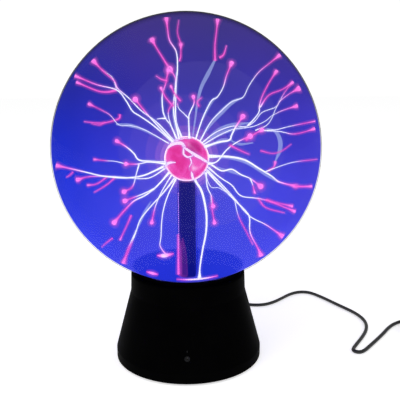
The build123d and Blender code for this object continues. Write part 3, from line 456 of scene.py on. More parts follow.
def one_sided(made, output, node, tree, glow):
    """Ends a material that shows the glow on the front of its faces and nothing on their back."""
    behind = node("NewGeometry").outputs["Backfacing"]
    surface = node("MixShader", i0=behind, i1=glow, i2=node("BsdfTransparent").outputs[0])
    tree.links.new(surface.outputs[0], output.inputs["Surface"])
    made.use_backface_culling = True
    made.cycles.emission_sampling = "NONE"


# Colours at heights in metres. The step near the foot bounds the deeper blue lens there.
FAR_COLOURS = [
    (0.0640, (0.018, 0.036, 0.62)),
    (0.0736, (0.020, 0.038, 0.62)),
    (0.0742, (0.064, 0.080, 0.78)),
    (0.1000, (0.062, 0.072, 0.74)),
    (0.1300, (0.052, 0.058, 0.66)),
    (0.1700, (0.044, 0.042, 0.52)),
    (0.2100, (0.036, 0.030, 0.31)),
    (0.2632, (0.055, 0.038, 0.19)),
]
NEAR_COLOURS = [
    (0.064, (0.010, 0.020, 0.80)),
    (0.110, (0.016, 0.026, 0.80)),
    (0.180, (0.020, 0.026, 0.52)),
    (0.2632, (0.040, 0.032, 0.30)),
]
# How the far glow's colour is multiplied from the left of the globe, 0, to its right, 1.
TINTS_ACROSS = [
    (0.0, (0.20, 0.60, 1.10)),
    (0.11, (0.62, 0.80, 1.10)),
    (0.30, (1.05, 0.90, 1.04)),
    (0.6, (1, 1, 1)),
    (0.95, (1.3, 1.05, 1.12)),
]


def far_glow_look():
    """Deep, slightly mottled blue that changes with height and across the globe."""
    made, output, node, tree = material("glow_far")
    place = node("TexCoord").outputs["Object"]
    across = node("SeparateXYZ", Vector=place).outputs["X"]
    across_share = node("MapRange", Value=across, i1=-GLOBE_R, i2=GLOBE_R).outputs[0]
    tint = ramp(node, across_share, TINTS_ACROSS)
    colour = node("VectorMath", operation="MULTIPLY", i0=height_colour(node, FAR_COLOURS), i1=tint)
    mottle = node("TexNoise", Vector=place, Scale=14.0, Detail=2.0)
    level = node("MapRange", Value=mottle.outputs["Fac"], i1=0.25, i2=0.75, i3=0.88, i4=1.12)
    light = node("Emission", Color=colour.outputs["Vector"], Strength=level.outputs["Result"])
    one_sided(made, output, node, tree, light.outputs[0])
    return made


def veil_look(name, share, colours=None, colour=None):
    """A thin veil of light, in one colour or in colours that go with height."""
    made, output, node, tree = material(name, blended=True)
    shade = (*colour, 1) if colours is None else height_colour(node, colours)
    light = node("Emission", Color=shade, Strength=1.0)
    veil = node("MixShader", i0=share, i1=node("BsdfTransparent").outputs[0], i2=light.outputs[0])
    one_sided(made, output, node, tree, veil.outputs[0])
    return made


add_piece(
    "gas_glow_far",
    ball_mesh("gas_glow_far", FAR_GLOW_R, GLOBE, inward=True),
    far_glow_look(),
)
add_piece(
    "gas_glow_near",
    ball_mesh("gas_glow_near", NEAR_GLOW_R, GLOBE, bottom=NEAR_GLOW_FOOT_Z),
    veil_look("glow_near", NEAR_GLOW_SHARE, colours=NEAR_COLOURS),
)

# Faint shells of glowing gas round the electrode, of which only the far half shows.
# (radius, colour, share, how far it is off the electrode's middle)
HAZES = [
    (0.062, (0.22, 0.18, 0.62), 0.10, (0.011, 0, 0.010)),
    (0.044, (0.30, 0.19, 0.80), 0.07, (0, 0, 0.004)),
    (0.032, (0.52, 0.22, 0.80), 0.11, (0.001, 0, 0.004)),
    (0.0240, (0.80, 0.26, 0.80), 0.16, (0, 0, 0.001)),
    (0.0200, (1.10, 0.50, 1.05), 0.16, (0, 0, 0)),
]
for number, (radius, colour, share, offset) in enumerate(HAZES):
    name = f"gas_haze_{number}"
    mesh = ball_mesh(name, radius, BULB + Vector(offset), inward=True, level=5)
    add_piece(name, mesh, veil_look(name, share, colour=colour))

# ---- the electrode: pink glow with a white painted highlight where the glass is seen edge-on ----

ELECTRODE_PINKS = [
    (0.30, (0.78, 0.03, 0.20)),
    (0.45, (0.86, 0.06, 0.32)),
    (0.58, (0.92, 0.12, 0.44)),
    (0.74, (1.0, 0.50, 0.78)),
]
DARK_PATCH = BULB + Vector((0.0062, -0.0120, 0.0098))
ELECTRODE_GLOW_GAP = 0.0002  # how far the glow stands off the bulb's glass


def electrode_look():
    """Cloudy pink light with one darker patch and a pale painted highlight at its outline."""
    made, output, node, tree = material("electrode_glow")
    place = node("TexCoord").outputs["Object"]
    cloud = node("TexNoise", Vector=place, Scale=75.0, Detail=3.0, Roughness=0.5, Distortion=0.6)
    pink = ramp(node, cloud.outputs["Fac"], ELECTRODE_PINKS)
    off_patch = node("VectorMath", operation="DISTANCE", i0=place, i1=tuple(DARK_PATCH)).outputs["Value"]
    fade = node("MapRange", interpolation_type="SMOOTHSTEP", Value=off_patch, i1=0.002, i2=0.0085)
    deepened = ramp(node, fade.outputs["Result"], [(0.0, (0.62, 0.20, 0.36)), (1.0, (1, 1, 1))])
    pink = node("VectorMath", operation="MULTIPLY", i0=pink, i1=deepened).outputs["Vector"]
    # painted highlight: a pale rim of light where the bulb's glass is seen edge-on
    facing = node("LayerWeight", Blend=0.5).outputs["Facing"]
    rim_highlight_share = node("MapRange", interpolation_type="SMOOTHSTEP", Value=facing, i1=0.52, i2=0.84)
    inner_light = node("Emission", Color=pink, Strength=1.22)
    rim_highlight = node("Emission", Color=(1.0, 0.74, 0.95, 1), Strength=1.7)
    both = node("MixShader", i0=rim_highlight_share.outputs[0], i1=inner_light.outputs[0], i2=rim_highlight.outputs[0])
    tree.links.new(both.outputs[0], output.inputs["Surface"])
    made.cycles.emission_sampling = "NONE"
    return made


electrode_glow = electrode_look()
add_piece(
    "electrode_glow",
    ball_mesh("electrode_glow", BULB_R + ELECTRODE_GLOW_GAP, BULB, level=5),
    electrode_glow,
)
dress(electrode_glow, "steel_wool")

# ---- discharges ----


def seen(right, up, depth):
    """A point that from the front looks to be right of and above the electrode's middle.

    It lies depth behind that middle. All three are in millimetres.
    """
    flat = HUB + (RIGHT * right + UP * up) * MM
    reach = (HUB - EYE).dot(ahead)
    return EYE + (flat - EYE) * (1 + depth * MM / reach)


def sight_meets(right, up, middle, radius, front):
    """Where that line of sight meets a ball, on its near or far side.

    A line that misses the ball gives the point of the ball nearest to it.
    """
    along = (seen(right, up, 0) - EYE).normalized()
    to_middle = middle - EYE
    closest = to_middle.dot(along)
    gap = to_middle.length_squared - closest * closest
    if gap >= radius * radius:
        foot = EYE + along * closest
        return middle + (foot - middle).normalized() * radius
    half = sqrt(radius * radius - gap)
    return EYE + along * (closest - half if front else closest + half)


def on_glass(right, up, front):
    """Where that line of sight meets the inside of the globe."""
    return sight_meets(right, up, GLOBE, INNER_R, front)


def smooth_path(points, steps=7):
    """A Catmull-Rom curve through the points."""
    ends = [points[0] * 2 - points[1]] + points + [points[-1] * 2 - points[-2]]
    path = []
    for a, b, c, d in zip(ends, ends[1:], ends[2:], ends[3:]):
        for step in range(steps):
            t = step / steps
            bend = (a * 2 - b * 5 + c * 4 - d) * t * t
            twist = (b * 3 - a - c * 3 + d) * t**3
            path.append((b * 2 + (c - a) * t + bend + twist) / 2)
    path.append(points[-1])
    return path


class Tubes:
    """Collects tapering tubes into one mesh, with a warmth value on each vertex."""

    def __init__(self):
        self.build = bmesh.new()
        self.warmth = self.build.verts.layers.float.new("warmth")

    def add(self, path, radii, warmths, sides=8):
        rings = []
        turn = None
        for index, place in enumerate(path):
            ahead_way = path[min(index + 1, len(path) - 1)] - path[max(index - 1, 0)]
            if turn is None:
                turn = ahead_way.orthogonal().normalized()
            turn = (turn - ahead_way * turn.dot(ahead_way) / ahead_way.length_squared).normalized()
            other = ahead_way.normalized().cross(turn)
            ring = []
            for side in range(sides):
                angle = 2 * pi * side / sides
                vert = self.build.verts.new(place + (turn * cos(angle) + other * sin(angle)) * radii[index])
                vert[self.warmth] = warmths[index]
                ring.append(vert)
            rings.append(ring)
        for first, second in zip(rings, rings[1:]):
            for side in range(sides):
                after = (side + 1) % sides
                self.build.faces.new((first[side], first[after], second[after], second[side]))
        self.build.faces.new(rings[0][::-1])
        self.build.faces.new(rings[-1])

    def mesh(self, name):
        made = bpy.data.meshes.new(name)
        self.build.to_mesh(made)
        self.build.free()
        return made


def spark_material(name, stops, strength, cold_share, warm_share):
    """Glowing gas whose colour and thickness to the eye go with the warmth value."""
    made, output, node, tree = material(name, blended=True)
    warmth = node("Attribute", attribute_name="warmth").outputs["Fac"]
    light = node("Emission", Color=ramp(node, warmth, stops), Strength=strength)
    share = node("MapRange", Value=warmth, i3=cold_share, i4=warm_share)
    clear = node("BsdfTransparent")
    surface = node("MixShader", i0=share.outputs[0], i1=clear.outputs[0], i2=light.outputs[0])
    tree.links.new(surface.outputs[0], output.inputs["Surface"])
    made.cycles.emission_sampling = "NONE"
    return made


# Each discharge: where it looks to run from the front, in millimetres right of and above the
# electrode's middle; the side of the globe it ends on; its thickness at the root; where it turns
# pink, as a share of its length; and how wide it flares at the glass, 0 for a plain end.
FRONT, BACK = True, False
ALL_PINK, ALL_WHITE = -1.0, 2.0
DISCHARGES = [
    # upper left
    (
        [(-11, 14), (-25, 26), (-35, 33), (-41, 37), (-46, 45), (-53, 53), (-68, 57), (-85, 64)],
        BACK, 1.0, 0.78, 2.0,
    ),
    (
        [(-10, 15), (-22, 28), (-34, 37), (-44, 47), (-52, 54), (-55, 60), (-63, 67), (-71, 75.5)],
        BACK, 0.9, 0.70, 3.6,
    ),
    ([(-53, 54), (-56, 62), (-60, 65.5), (-65, 69)], BACK, 0.5, 0.8, 0),
    ([(-11, 14.5), (-22, 26), (-31, 36), (-39, 46)], FRONT, 0.9, 0.66, 3.6),
    (
        [(-14, 13), (-31, 22.5), (-42, 26), (-51, 26.5), (-58, 34), (-64, 37.5), (-74, 42.5)],
        BACK, 0.5, 0.74, 2.8,
    ),
    # left
    ([(-17, -2), (-27, -1), (-36, 0), (-40, 5), (-45, 9.5), (-53, 14.5)], FRONT, 1.2, 0.80, 2.2),
    ([(-17, -3), (-28, -1.5), (-37, -3), (-46, -3)], FRONT, 0.8, 0.72, 2.6),
    ([(-46, -3), (-54, -1), (-61, -0.5), (-70, 0.5)], BACK, 0.5, 0.6, 1.6),
    (
        [
            (-16, -4), (-25, -8.5), (-34, -12), (-47, -13.5),
            (-64, -12), (-75, -9.5), (-90, -6), (-99, -4),
        ],
        BACK, 1.2, 0.84, 2.6,
    ),
    ([(-16, -6), (-27, -13), (-37, -14), (-54, -12.5), (-73, -12.5), (-83, -15)], BACK, 0.8, 0.76, 3.6),
    ([(-36, -3), (-38, -10), (-41, -20), (-47.5, -24)], FRONT, 0.6, 0.55, 3.2),
    # lower left
    (
        [(-14, -10), (-19, -16), (-25, -22), (-32, -27), (-40, -31), (-47, -38), (-55, -47.5)],
        FRONT, 1.1, 0.62, 3.4,
    ),
    ([(-25, -22), (-34, -26), (-42, -29), (-47, -31)], FRONT, 0.8, 0.62, 3.2),
    ([(-9.5, -14.5), (-18, -25), (-28, -36), (-35, -45), (-38, -53), (-40, -59)], BACK, 1.1, ALL_WHITE, 0),
    ([(-38, -53), (-40.5, -60), (-44.5, -70), (-48, -79)], BACK, 0.5, 0.35, 1.4),
    ([(-38, -53), (-44, -66), (-48.5, -79)], BACK, 0.5, 0.45, 2.4),
    ([(-12, -12), (-19, -24), (-24, -36), (-26.5, -47.5)], FRONT, 0.7, 0.72, 2.4),
    (
        [
            (-8.5, -15), (-14, -26), (-17.5, -37), (-19, -47.5),
            (-19.5, -58), (-20.3, -64), (-18.5, -68), (-15.5, -71.5),
        ],
        FRONT, 0.8, 0.95, 0.6,
    ),
    # down in front of the stem, and right of it
    (
        [
            (4, -9), (6.5, -15.5), (11, -23), (13.5, -32), (15, -43),
            (14.5, -55), (12, -68), (10, -81), (9.8, -92),
        ],
        FRONT, 1.7, ALL_WHITE, 2.0,
    ),
    ([(15, -10), (15.5, -20), (18.5, -27), (20, -35)], FRONT, 0.8, 0.70, 2.8),
    ([(18.5, -27), (19, -36), (21, -47.5)], FRONT, 0.5, 0.30, 2.6),
    # lower right
    (
        [
            (15, -7.5), (22, -16), (31, -25), (38, -32), (45, -39),
            (47.5, -44), (48, -55), (54, -67), (58, -75),
        ],
        BACK, 1.1, 0.80, 3.0,
    ),
    ([(16, -8), (26, -18), (36, -29), (47, -42), (60, -49), (73, -58)], BACK, 1.0, 0.84, 3.8),
    ([(36, -29), (39, -42), (45, -54), (50, -64)], BACK, 0.4, 0.35, 0),
    (
        [(16.5, -5.5), (25, -13), (34, -19), (41, -27), (54, -29), (67, -32), (80, -35)],
        BACK, 0.9, 0.66, 2.2,
    ),
    ([(17, -2), (26, -8), (34, -7), (41, -11), (48, -14), (56, -20)], FRONT, 1.1, 0.84, 3.8),
    ([(48, -14), (50, -19), (51.5, -25)], FRONT, 0.5, 0.5, 1.0),
    ([(14, -10), (18, -20), (24, -21), (31, -25)], FRONT, 0.4, ALL_WHITE, 0),
    # right
    ([(17.5, 3), (32, 2.5), (44, 0), (54, -6), (64, -12), (70, -16.5), (83, -20)], BACK, 1.6, 0.84, 3.2),
    ([(17, -3), (23, -1), (30, 7.5), (38, 13.5), (48, 18)], FRONT, 0.9, 0.80, 3.8),
    ([(45, 15.5), (51, 19.5), (57, 22.8)], FRONT, 0.9, ALL_PINK, 2.6),
    ([(56, 22.3), (70, 21.6), (80, 19.7), (88, 21), (97, 23.8)], BACK, 0.55, 0.55, 2.0),
    ([(56, 22.5), (67, 22.9), (78, 25.5), (97.5, 29.5)], BACK, 0.5, 0.65, 0.8),
    ([(59, -9), (71, -4.5), (81.5, -1.5), (100, 0.5)], BACK, 0.45, 0.7, 0),
    ([(14.5, 10.5), (24, 13.5), (32, 15), (34, 19), (37, 25), (42.5, 33)], FRONT, 1.4, 0.80, 3.2),
    # upper right
    ([(46, 26), (50, 30), (54.5, 36), (55, 41), (57, 48), (62, 58), (68, 67.5)], BACK, 0.8, 0.42, 2.8),
    ([(55.5, 40), (62, 49), (72.4, 53.5), (80.5, 59)], BACK, 0.6, 0.1, 2.0),
    (
        [
            (12, 13.5), (22, 21), (34, 25.5), (45, 25.5), (51.5, 29.5),
            (57, 36), (67, 40), (71, 45), (77.5, 50), (85.5, 54.5),
        ],
        BACK, 0.6, 0.84, 4.2,
    ),
    (
        [
            (13, 12), (24, 18.5), (36, 23.5), (45, 24.5), (51.5, 25.8),
            (59.5, 29.5), (64.5, 33.5), (72.5, 37.5), (83.5, 41),
        ],
        BACK, 0.6, 0.86, 3.0,
    ),
    ([(52, 22.5), (60, 26), (64, 31), (67, 38), (71, 46), (76, 54), (80, 58)], BACK, 0.45, 0.75, 0),
    (
        [
            (10.5, 15), (18, 28.5), (26.5, 37.5), (34, 44), (42.5, 47.5),
            (47, 56), (54, 66), (63, 73.5), (71, 80),
        ],
        BACK, 0.6, 0.80, 2.4,
    ),
    (
        [(7, 16.5), (12, 31.5), (18.5, 44.5), (23, 47.5), (27.5, 55), (30, 63.5), (34, 73.5)],
        FRONT, 0.8, 0.78, 3.0,
    ),
    ([(21.5, 75), (21.3, 82), (21.5, 89), (22.7, 99), (23.5, 107)], BACK, 0.7, ALL_PINK, 2.4),
    # up
    ([(2, 17.5), (1.5, 31.5), (2.5, 36), (5.5, 43), (5, 48)], FRONT, 1.0, 0.84, 2.2),
    ([(1.5, 31.5), (-2, 35), (-6, 39), (-7, 43)], FRONT, 0.5, 0.9, 0),
    (
        [
            (-4, 17.5), (-8, 29), (-8.5, 43), (-8, 57.5), (-7, 70.5),
            (-8, 82), (-13, 90.5), (-14.5, 99), (-15.5, 108),
        ],
        BACK, 1.1, 0.80, 2.6,
    ),
    ([(-6, 17), (-10, 37), (-8.5, 57), (-9, 63), (-13, 69)], FRONT, 0.9, 0.84, 4.0),
    ([(-13, 69), (-18, 77), (-23, 85), (-26.5, 91.5)], BACK, 0.9, 0.0, 4.0),
    (
        [(-8, 17), (-12, 26), (-16, 31.5), (-18, 37.5), (-18.5, 49), (-16, 57.5), (-14, 68)],
        FRONT, 0.9, 0.70, 2.2,
    ),
    ([(-16, 31.5), (-19, 31.5), (-22.5, 31)], FRONT, 0.6, ALL_WHITE, 0),
    ([(-12, 26), (-14, 36), (-10, 44)], FRONT, 0.5, 0.6, 0),
    # short pink ones
    ([(-53, 53), (-60, 51.5), (-68, 52.5), (-83.5, 59)], BACK, 0.9, ALL_PINK, 1.8),
    ([(-50.5, 34.5), (-52, 31), (-64, 28), (-77.5, 29)], BACK, 0.7, ALL_PINK, 0),
    ([(-62, 28.5), (-66, 26.5), (-72, 27.5)], BACK, 0.4, ALL_PINK, 0),
    ([(-54, -13), (-61, -19), (-70, -24.5)], BACK, 0.5, ALL_PINK, 0),
    ([(-60, -12.5), (-68, -18), (-75, -19)], BACK, 0.5, ALL_PINK, 1.4),
    ([(-42, -42), (-46, -51), (-50.5, -60.5)], BACK, 0.5, ALL_PINK, 1.0),
    ([(-56, -59), (-60, -62), (-64.5, -66)], BACK, 0.3, ALL_PINK, 0),
    ([(25, 77.5), (28, 80), (30, 86.5)], BACK, 0.8, ALL_PINK, 0),
    ([(33, 11), (41, 7), (47, 4.5)], FRONT, 0.6, ALL_PINK, 0),
    ([(-10.5, 41), (-16, 47.5), (-19.5, 54.5)], FRONT, 0.7, ALL_PINK, 1.6),
    ([(-5, 45), (-9, 50), (-12, 56)], FRONT, 0.6, ALL_PINK, 1.4),
    ([(-15, 60), (-19, 61), (-23, 63.5)], FRONT, 0.5, ALL_PINK, 0),
    ([(-5.5, 75), (-4.5, 79), (-4.5, 88)], BACK, 0.5, ALL_PINK, 3.0),
    ([(-4.5, 88), (-7, 96.5), (-6, 106)], BACK, 0.25, ALL_PINK, 0),
    ([(54, -29), (60, -36), (74, -40)], BACK, 0.6, ALL_PINK, 0),
    ([(60, -30), (70, -34), (82, -39)], BACK, 0.8, ALL_PINK, 2.4),
    ([(82, -20), (90, -20), (97, -20.5)], BACK, 0.8, ALL_PINK, 1.4),
    ([(-86, -9), (-88.5, -11.5), (-91, -13)], BACK, 0.3, ALL_PINK, 0),
    ([(56, 7), (65, 5), (72, 7), (79, 12)], BACK, 0.4, ALL_PINK, 0),
    ([(62, -8), (66, -5), (67, -1)], BACK, 0.8, ALL_PINK, 1.6),
    ([(9, 41), (8, 44), (11, 47)], FRONT, 0.5, ALL_PINK, 0),
]

# Where the discharges spread into pale blurred bands: points and side as above, and half widths.
BANDS = [
    ([(12, 12.5), (24, 22.5), (34.5, 26.5), (47, 28)], BACK, [0.7, 1.7, 1.8, 0.7]),
    ([(13.5, 11.5), (24, 19), (34.5, 23), (45, 24.5)], BACK, [0.6, 1.5, 1.6, 0.6]),
    ([(16, 10), (26, 14.5), (34, 15.5)], BACK, [0.8, 2.0, 0.6]),
    ([(10.5, 15.5), (17, 26), (26, 36), (35, 44), (43, 47.5)], BACK, [0.6, 1.4, 2.0, 1.6, 0.5]),
    ([(7, 17), (12, 31), (18, 43), (23, 48)], BACK, [0.5, 0.9, 1.5, 0.6]),
    (
        [(4.5, 17.5), (6.5, 31.5), (8, 43), (11, 55), (16, 65), (21.5, 76)],
        BACK, [0.5, 0.7, 0.9, 1.4, 1.7, 0.9],
    ),
    ([(-8, 20), (-9.5, 34), (-8.5, 50), (-8.2, 66)], BACK, [0.4, 1.4, 1.2, 0.5]),
    ([(-15, 31), (-18, 37.5), (-18.5, 49), (-16, 57.5)], BACK, [0.3, 0.9, 0.8, 0.3]),
    ([(-14, 13), (-31, 22), (-42, 26), (-53, 27)], BACK, [0.5, 1.0, 1.6, 0.8]),
    ([(17, 2.5), (32, 2), (46, -2), (60, -11), (70, -17)], BACK, [0.7, 1.4, 1.6, 1.4, 0.7]),
    ([(33, 15), (40, 12), (50, 13)], BACK, [0.4, 1.2, 0.5]),
    ([(22, -5), (34, -9), (46, -13)], BACK, [0.4, 1.1, 0.4]),
    ([(-27, -31), (-31, -38), (-35, -46), (-38, -53)], BACK, [0.3, 1.2, 1.3, 0.4]),
    ([(60, 24), (67, 21.6), (70.5, 15), (70.3, 7.3), (66.5, -1.8)], BACK, [0.3, 1.4, 2.0, 1.9, 0.4]),
]

# Bright veins over the front of the electrode: points as above, and half widths.
VEINS = [
    ([(-3.5, 10.5), (0, 8), (3, 6), (6, 4), (11, 1.2), (17, -2.6)], [0.4, 1.1, 1.1, 1.5, 1.2, 0.9]),
    ([(-2.2, 9.5), (-2.4, 6), (-2, 4), (1, 2.2), (5.3, 3.6)], [0.5, 0.9, 0.8, 0.8, 0.4]),
    ([(-17, -4.4), (-12.8, -2.0), (-8.2, -1.8)], [1.4, 1.2, 0.3]),
    ([(2.3, 2.4), (3.5, -2), (1.9, -5.2), (2.3, -8)], [0.7, 0.5, 0.3, 0.1]),
    ([(-14, 9), (-9.5, 12), (-4.5, 12.5), (-1, 10)], [1.0, 1.8, 1.8, 0.5]),
    ([(-9, 14), (-3, 15.8), (4, 16.2)], [0.8, 0.6, 0.3]),
    ([(3.4, -8.5), (4, -11), (4.8, -14.5)], [0.3, 1.1, 1.0]),
    ([(-14, -8), (-15.5, -5), (-16, -3)], [0.4, 0.9, 0.8]),
    ([(10, -11), (13.5, -8), (15.5, -5)], [0.2, 0.6, 0.7]),
]


def depth_of(place):
    """How far behind the electrode's middle a point lies, seen from the front, in millimetres."""
    return (place - HUB).dot(ahead) / MM


def on_electrode(right, up):
    """Where that line of sight meets the front of the electrode's glass."""
    return sight_meets(right, up, BULB, BULB_R, FRONT)


ROOT_INSIDE = 0.97  # the roots start a little inside the electrode's outline
ROOT_REACH = 3.0  # a first point this near the electrode, in millimetres, is a root
DEPTH_POWER = 1.4
DEPTH_LIMIT = 0.96  # of the way from the electrode's depth to the glass's


def in_depth(sight, front):
    """The knots of a discharge: its depth grows from the electrode's towards the glass's."""
    tip = on_glass(*sight[-1], front)
    tip_reach = Vector(sight[-1]).length
    first = Vector(sight[0])
    if first.length < BULB_R / MM + ROOT_REACH:
        first *= ROOT_INSIDE
    knots = []
    for u, v in [first, *sight[1:-1]]:
        reach = min(Vector((u, v)).length / tip_reach, 1.0)
        depth = depth_of(tip) * reach**DEPTH_POWER
        limit = depth_of(on_glass(u, v, front)) * DEPTH_LIMIT
        knots.append(seen(u, v, min(depth, limit) if limit > 0 else max(depth, limit)))
    return knots + [tip]


def spread(values, share):
    """A value between evenly spaced ones."""
    place = share * (len(values) - 1)
    index = min(int(place), len(values) - 2)
    return values[index] + (values[index + 1] - values[index]) * (place - index)


def kept_inside(path):
    """The same points, none of them outside the globe's inner surface."""
    return [GLOBE + (place - GLOBE).normalized() * min((place - GLOBE).length, INNER_R) for place in path]


FLARE_FROM = 9.0  # where a discharge starts to flare, in millimetres before the glass
FLARE_SIZE = 0.62 * MM
FLARE_POWER = 2.6
ROOT_SPREAD = 9.0  # how far a discharge is thicker at its root, in millimetres
THICKNESS, THINNING, ROOT_SWELL = 0.52, 0.28, 0.30  # shares of the thickness at the root
TURN_HALF = 0.12  # half the share of the length over which white turns to pink
TIP_SHRINK = 0.7  # closes a flared end
FLARE_SHARE = 0.8  # a flare takes up no more of a discharge's length than this
TIP_PALING = 0.3  # how much of the pink a flared tip loses
VEIN_WIDTH = 0.85
# (growth, margin in metres) of the soft tubes round a discharge or a vein
HALO = (1.35, 0.0003)
GLOWS = [(1.35, 0.0007), (1.7, 0.0013)]
VEIN_HALOS = [(1.25, 0.0003), (1.6, 0.0008)]

tubes, halos, glows, bands = Tubes(), Tubes(), Tubes(), Tubes()


def swollen(radii, grow, margin):
    """The radii of a softer, wider tube round one."""
    return [radius * grow + margin for radius in radii]


def discharge(path, radii, warmths):
    """A discharge with its soft halos."""
    tubes.add(path, radii, warmths)
    halos.add(path, swollen(radii, *HALO), warmths)
    for grow, margin in GLOWS:
        glows.add(path, swollen(radii, grow, margin), warmths)


def shares_along(path):
    """How far along its points each one is, from 0 to 1."""
    return [index / (len(path) - 1) for index in range(len(path))]


for sight, front, root, pink_from, flare in DISCHARGES:
    path = kept_inside(smooth_path(in_depth(sight, front)))
    runs = [0.0]
    for before, here in zip(path, path[1:]):
        runs.append(runs[-1] + (here - before).length / MM)
    whole = runs[-1]
    radii, warmths = [], []
    for run in runs:
        share = run / whole
        flaring = max(0.0, 1 - (whole - run) / min(FLARE_FROM, whole * FLARE_SHARE))
        rooting = max(0.0, 1 - run / ROOT_SPREAD)
        stalk = root * (THICKNESS - THINNING * share + ROOT_SWELL * rooting) * MM
        radii.append(stalk + flare * FLARE_SIZE * flaring**FLARE_POWER)
        pinkness = (share - pink_from + TURN_HALF) / (2 * TURN_HALF)
        warmths.append(min(max(pinkness, 0.0), 1.0) * (1 - TIP_PALING * flaring**2))
    if flare:
        radii[-1] *= TIP_SHRINK
    discharge(path, radii, warmths)

for sight, front, widths in BANDS:
    path = kept_inside(smooth_path(in_depth(sight, front)))
    bands.add(path, [spread(widths, share) * MM for share in shares_along(path)], [0.0] * len(path))

for sight, widths in VEINS:
    flat = smooth_path([Vector((u, v, 0)) for u, v in sight])
    path = [on_electrode(place.x, place.y) for place in flat]
    radii = [spread(widths, share) * VEIN_WIDTH * MM for share in shares_along(path)]
    tubes.add(path, radii, [0.1] * len(path))
    for grow, margin in VEIN_HALOS:
        halos.add(path, swollen(radii, grow, margin), [0.3] * len(path))


def down_stem(across, forward, top_drop, pitch, count):
    """Points in a row down the stem, top_drop below the electrode's middle and then pitch apart."""
    return [Vector((across, -forward, BULB.z - top_drop - pitch * step)) for step in range(count)]


# the pink discharge that creeps down the stem's glass, and its glow beside it
discharge(
    down_stem(-0.0072, 0.0040, 0.058, 0.0080, 5),
    [0.00018, 0.00028, 0.0004, 0.0006, 0.0008],
    [0.9] * 5,
)
WASH_WIDTHS = (0.0002, 0.0012, 0.0016, 0.0018, 0.0019)
for across, swell in ((-0.0058, 0.9), (-0.0036, 1.9)):
    wash = down_stem(across, 0.0076, 0.060, 0.0075, 5)
    glows.add(wash, [swell * width for width in WASH_WIDTHS], [1.0] * 5)

# the row of fine sparks on the stem's left
SPARKS = 30
SPARK_LENGTH = 0.0005
SPARK_R = 0.00022
for low in down_stem(-0.0066, 0.0044, 0.026, 0.0015, SPARKS):
    tubes.add([low, low + Vector((0, 0, SPARK_LENGTH))], [SPARK_R] * 2, [0.45] * 2)

# where discharges smear along the glass: points as above, half thickness, and how pink the middle is
SMEARS = [
    ([(-8, -93.6), (0, -94.4), (9, -94.6), (18, -94.0), (25, -92.8)], 0.45, 0.1),
    ([(-22.5, -72.2), (-18.5, -72.4), (-15, -71.9), (-10, -70.8)], 1.15, 0.25),
    ([(-30.5, -84.4), (-26, -85.6), (-21.5, -86.6)], 0.8, 0.6),
]
for sight, half, warm in SMEARS:
    path = smooth_path([on_glass(u, v, FRONT) for u, v in sight])
    swells = [sin(pi * share) for share in shares_along(path)]
    warmths = [1 - (1 - warm) * swell**1.5 for swell in swells]
    discharge(path, [(0.1 + half * swell) * MM for swell in swells], warmths)

WHITE_TO_PINK = [
    (0.0, (0.90, 0.91, 1.0)),
    (0.30, (1.0, 0.62, 1.0)),
    (0.65, (1.0, 0.24, 0.80)),
    (1.0, (0.95, 0.12, 0.60)),
]
HALO_COLOURS = [(0.0, (0.50, 0.48, 1.0)), (0.5, (0.85, 0.22, 0.90)), (1.0, (0.92, 0.10, 0.62))]
BAND_COLOURS = [(0.0, (0.44, 0.54, 0.95)), (1.0, (0.44, 0.54, 0.95))]
for name, shape, colours, strength, cold_share, warm_share in (
    ("discharges", tubes, WHITE_TO_PINK, 1.55, 0.94, 0.80),
    ("discharge_halos", halos, HALO_COLOURS, 1.0, 0.12, 0.20),
    ("discharge_glows", glows, HALO_COLOURS, 0.9, 0.025, 0.08),
    ("discharge_bands", bands, BAND_COLOURS, 1.05, 0.38, 0.38),
):
    look = spark_material(name, colours, strength, cold_share, warm_share)
    add_piece(name, shape.mesh(name), look)

# ---- floor, light and view ----

FLOOR_HALF = 6.0
FLOOR_Z = -0.0002
FLOOR_LIFT = 0.58  # light of its own that keeps the floor white
STUDIO_LEVEL = 0.45  # the soft light all round
BACKDROP_LEVEL = 1.05  # how bright the empty studio looks


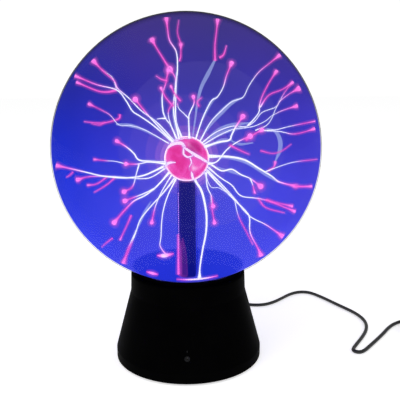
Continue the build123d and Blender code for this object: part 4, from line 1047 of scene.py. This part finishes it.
def white_floor():
    """A plain white floor."""
    mesh = bpy.data.meshes.new("floor")
    build = bmesh.new()
    bmesh.ops.create_grid(build, x_segments=1, y_segments=1, size=FLOOR_HALF)
    build.to_mesh(mesh)
    build.free()
    made, output, node, tree = material("floor_white")
    paint = node("BsdfDiffuse", Color=(0.9, 0.9, 0.9, 1))
    lift = node("Emission", Color=(1, 1, 1, 1), Strength=FLOOR_LIFT)
    whole = node("AddShader", i0=paint.outputs[0], i1=lift.outputs[0])
    tree.links.new(whole.outputs[0], output.inputs["Surface"])
    mesh.materials.append(made)
    floor = bpy.data.objects.new("floor", mesh)
    floor.location.z = FLOOR_Z
    SCENE.collection.objects.link(floor)


def studio():
    """A white studio that looks brighter than the light it gives."""
    world = bpy.data.worlds.new("studio")
    world.use_nodes = True
    tree = world.node_tree
    sky = tree.nodes["Background"]
    sky.inputs["Color"].default_value = (1, 1, 1, 1)
    rays = tree.nodes.new("ShaderNodeLightPath")
    level = tree.nodes.new("ShaderNodeMapRange")
    level.inputs["To Min"].default_value = STUDIO_LEVEL
    level.inputs["To Max"].default_value = BACKDROP_LEVEL
    tree.links.new(rays.outputs["Is Camera Ray"], level.inputs["Value"])
    tree.links.new(level.outputs["Result"], sky.inputs["Strength"])
    SCENE.world = world


def softbox(name, place, aim, width, height, power):
    """A soft rectangular light that isn't mirrored in anything."""
    lamp = bpy.data.lights.new(name, "AREA")
    lamp.shape = "RECTANGLE"
    lamp.size = width
    lamp.size_y = height
    lamp.energy = power
    made = bpy.data.objects.new(name, lamp)
    made.location = place
    made.rotation_euler = (Vector(aim) - Vector(place)).to_track_quat("-Z", "Y").to_euler()
    made.visible_glossy = False
    SCENE.collection.objects.link(made)


white_floor()
studio()
softbox("key", (-0.9, -1.1, 1.5), (0, 0, 0.1), 1.2, 1.2, 12.0)
softbox("fill", (1.2, -0.9, 1.1), (0.05, 0, 0.1), 1.0, 1.0, 5.0)

SCENE.view_settings.view_transform = "Standard"
SCENE.cycles.transparent_max_bounces = 64
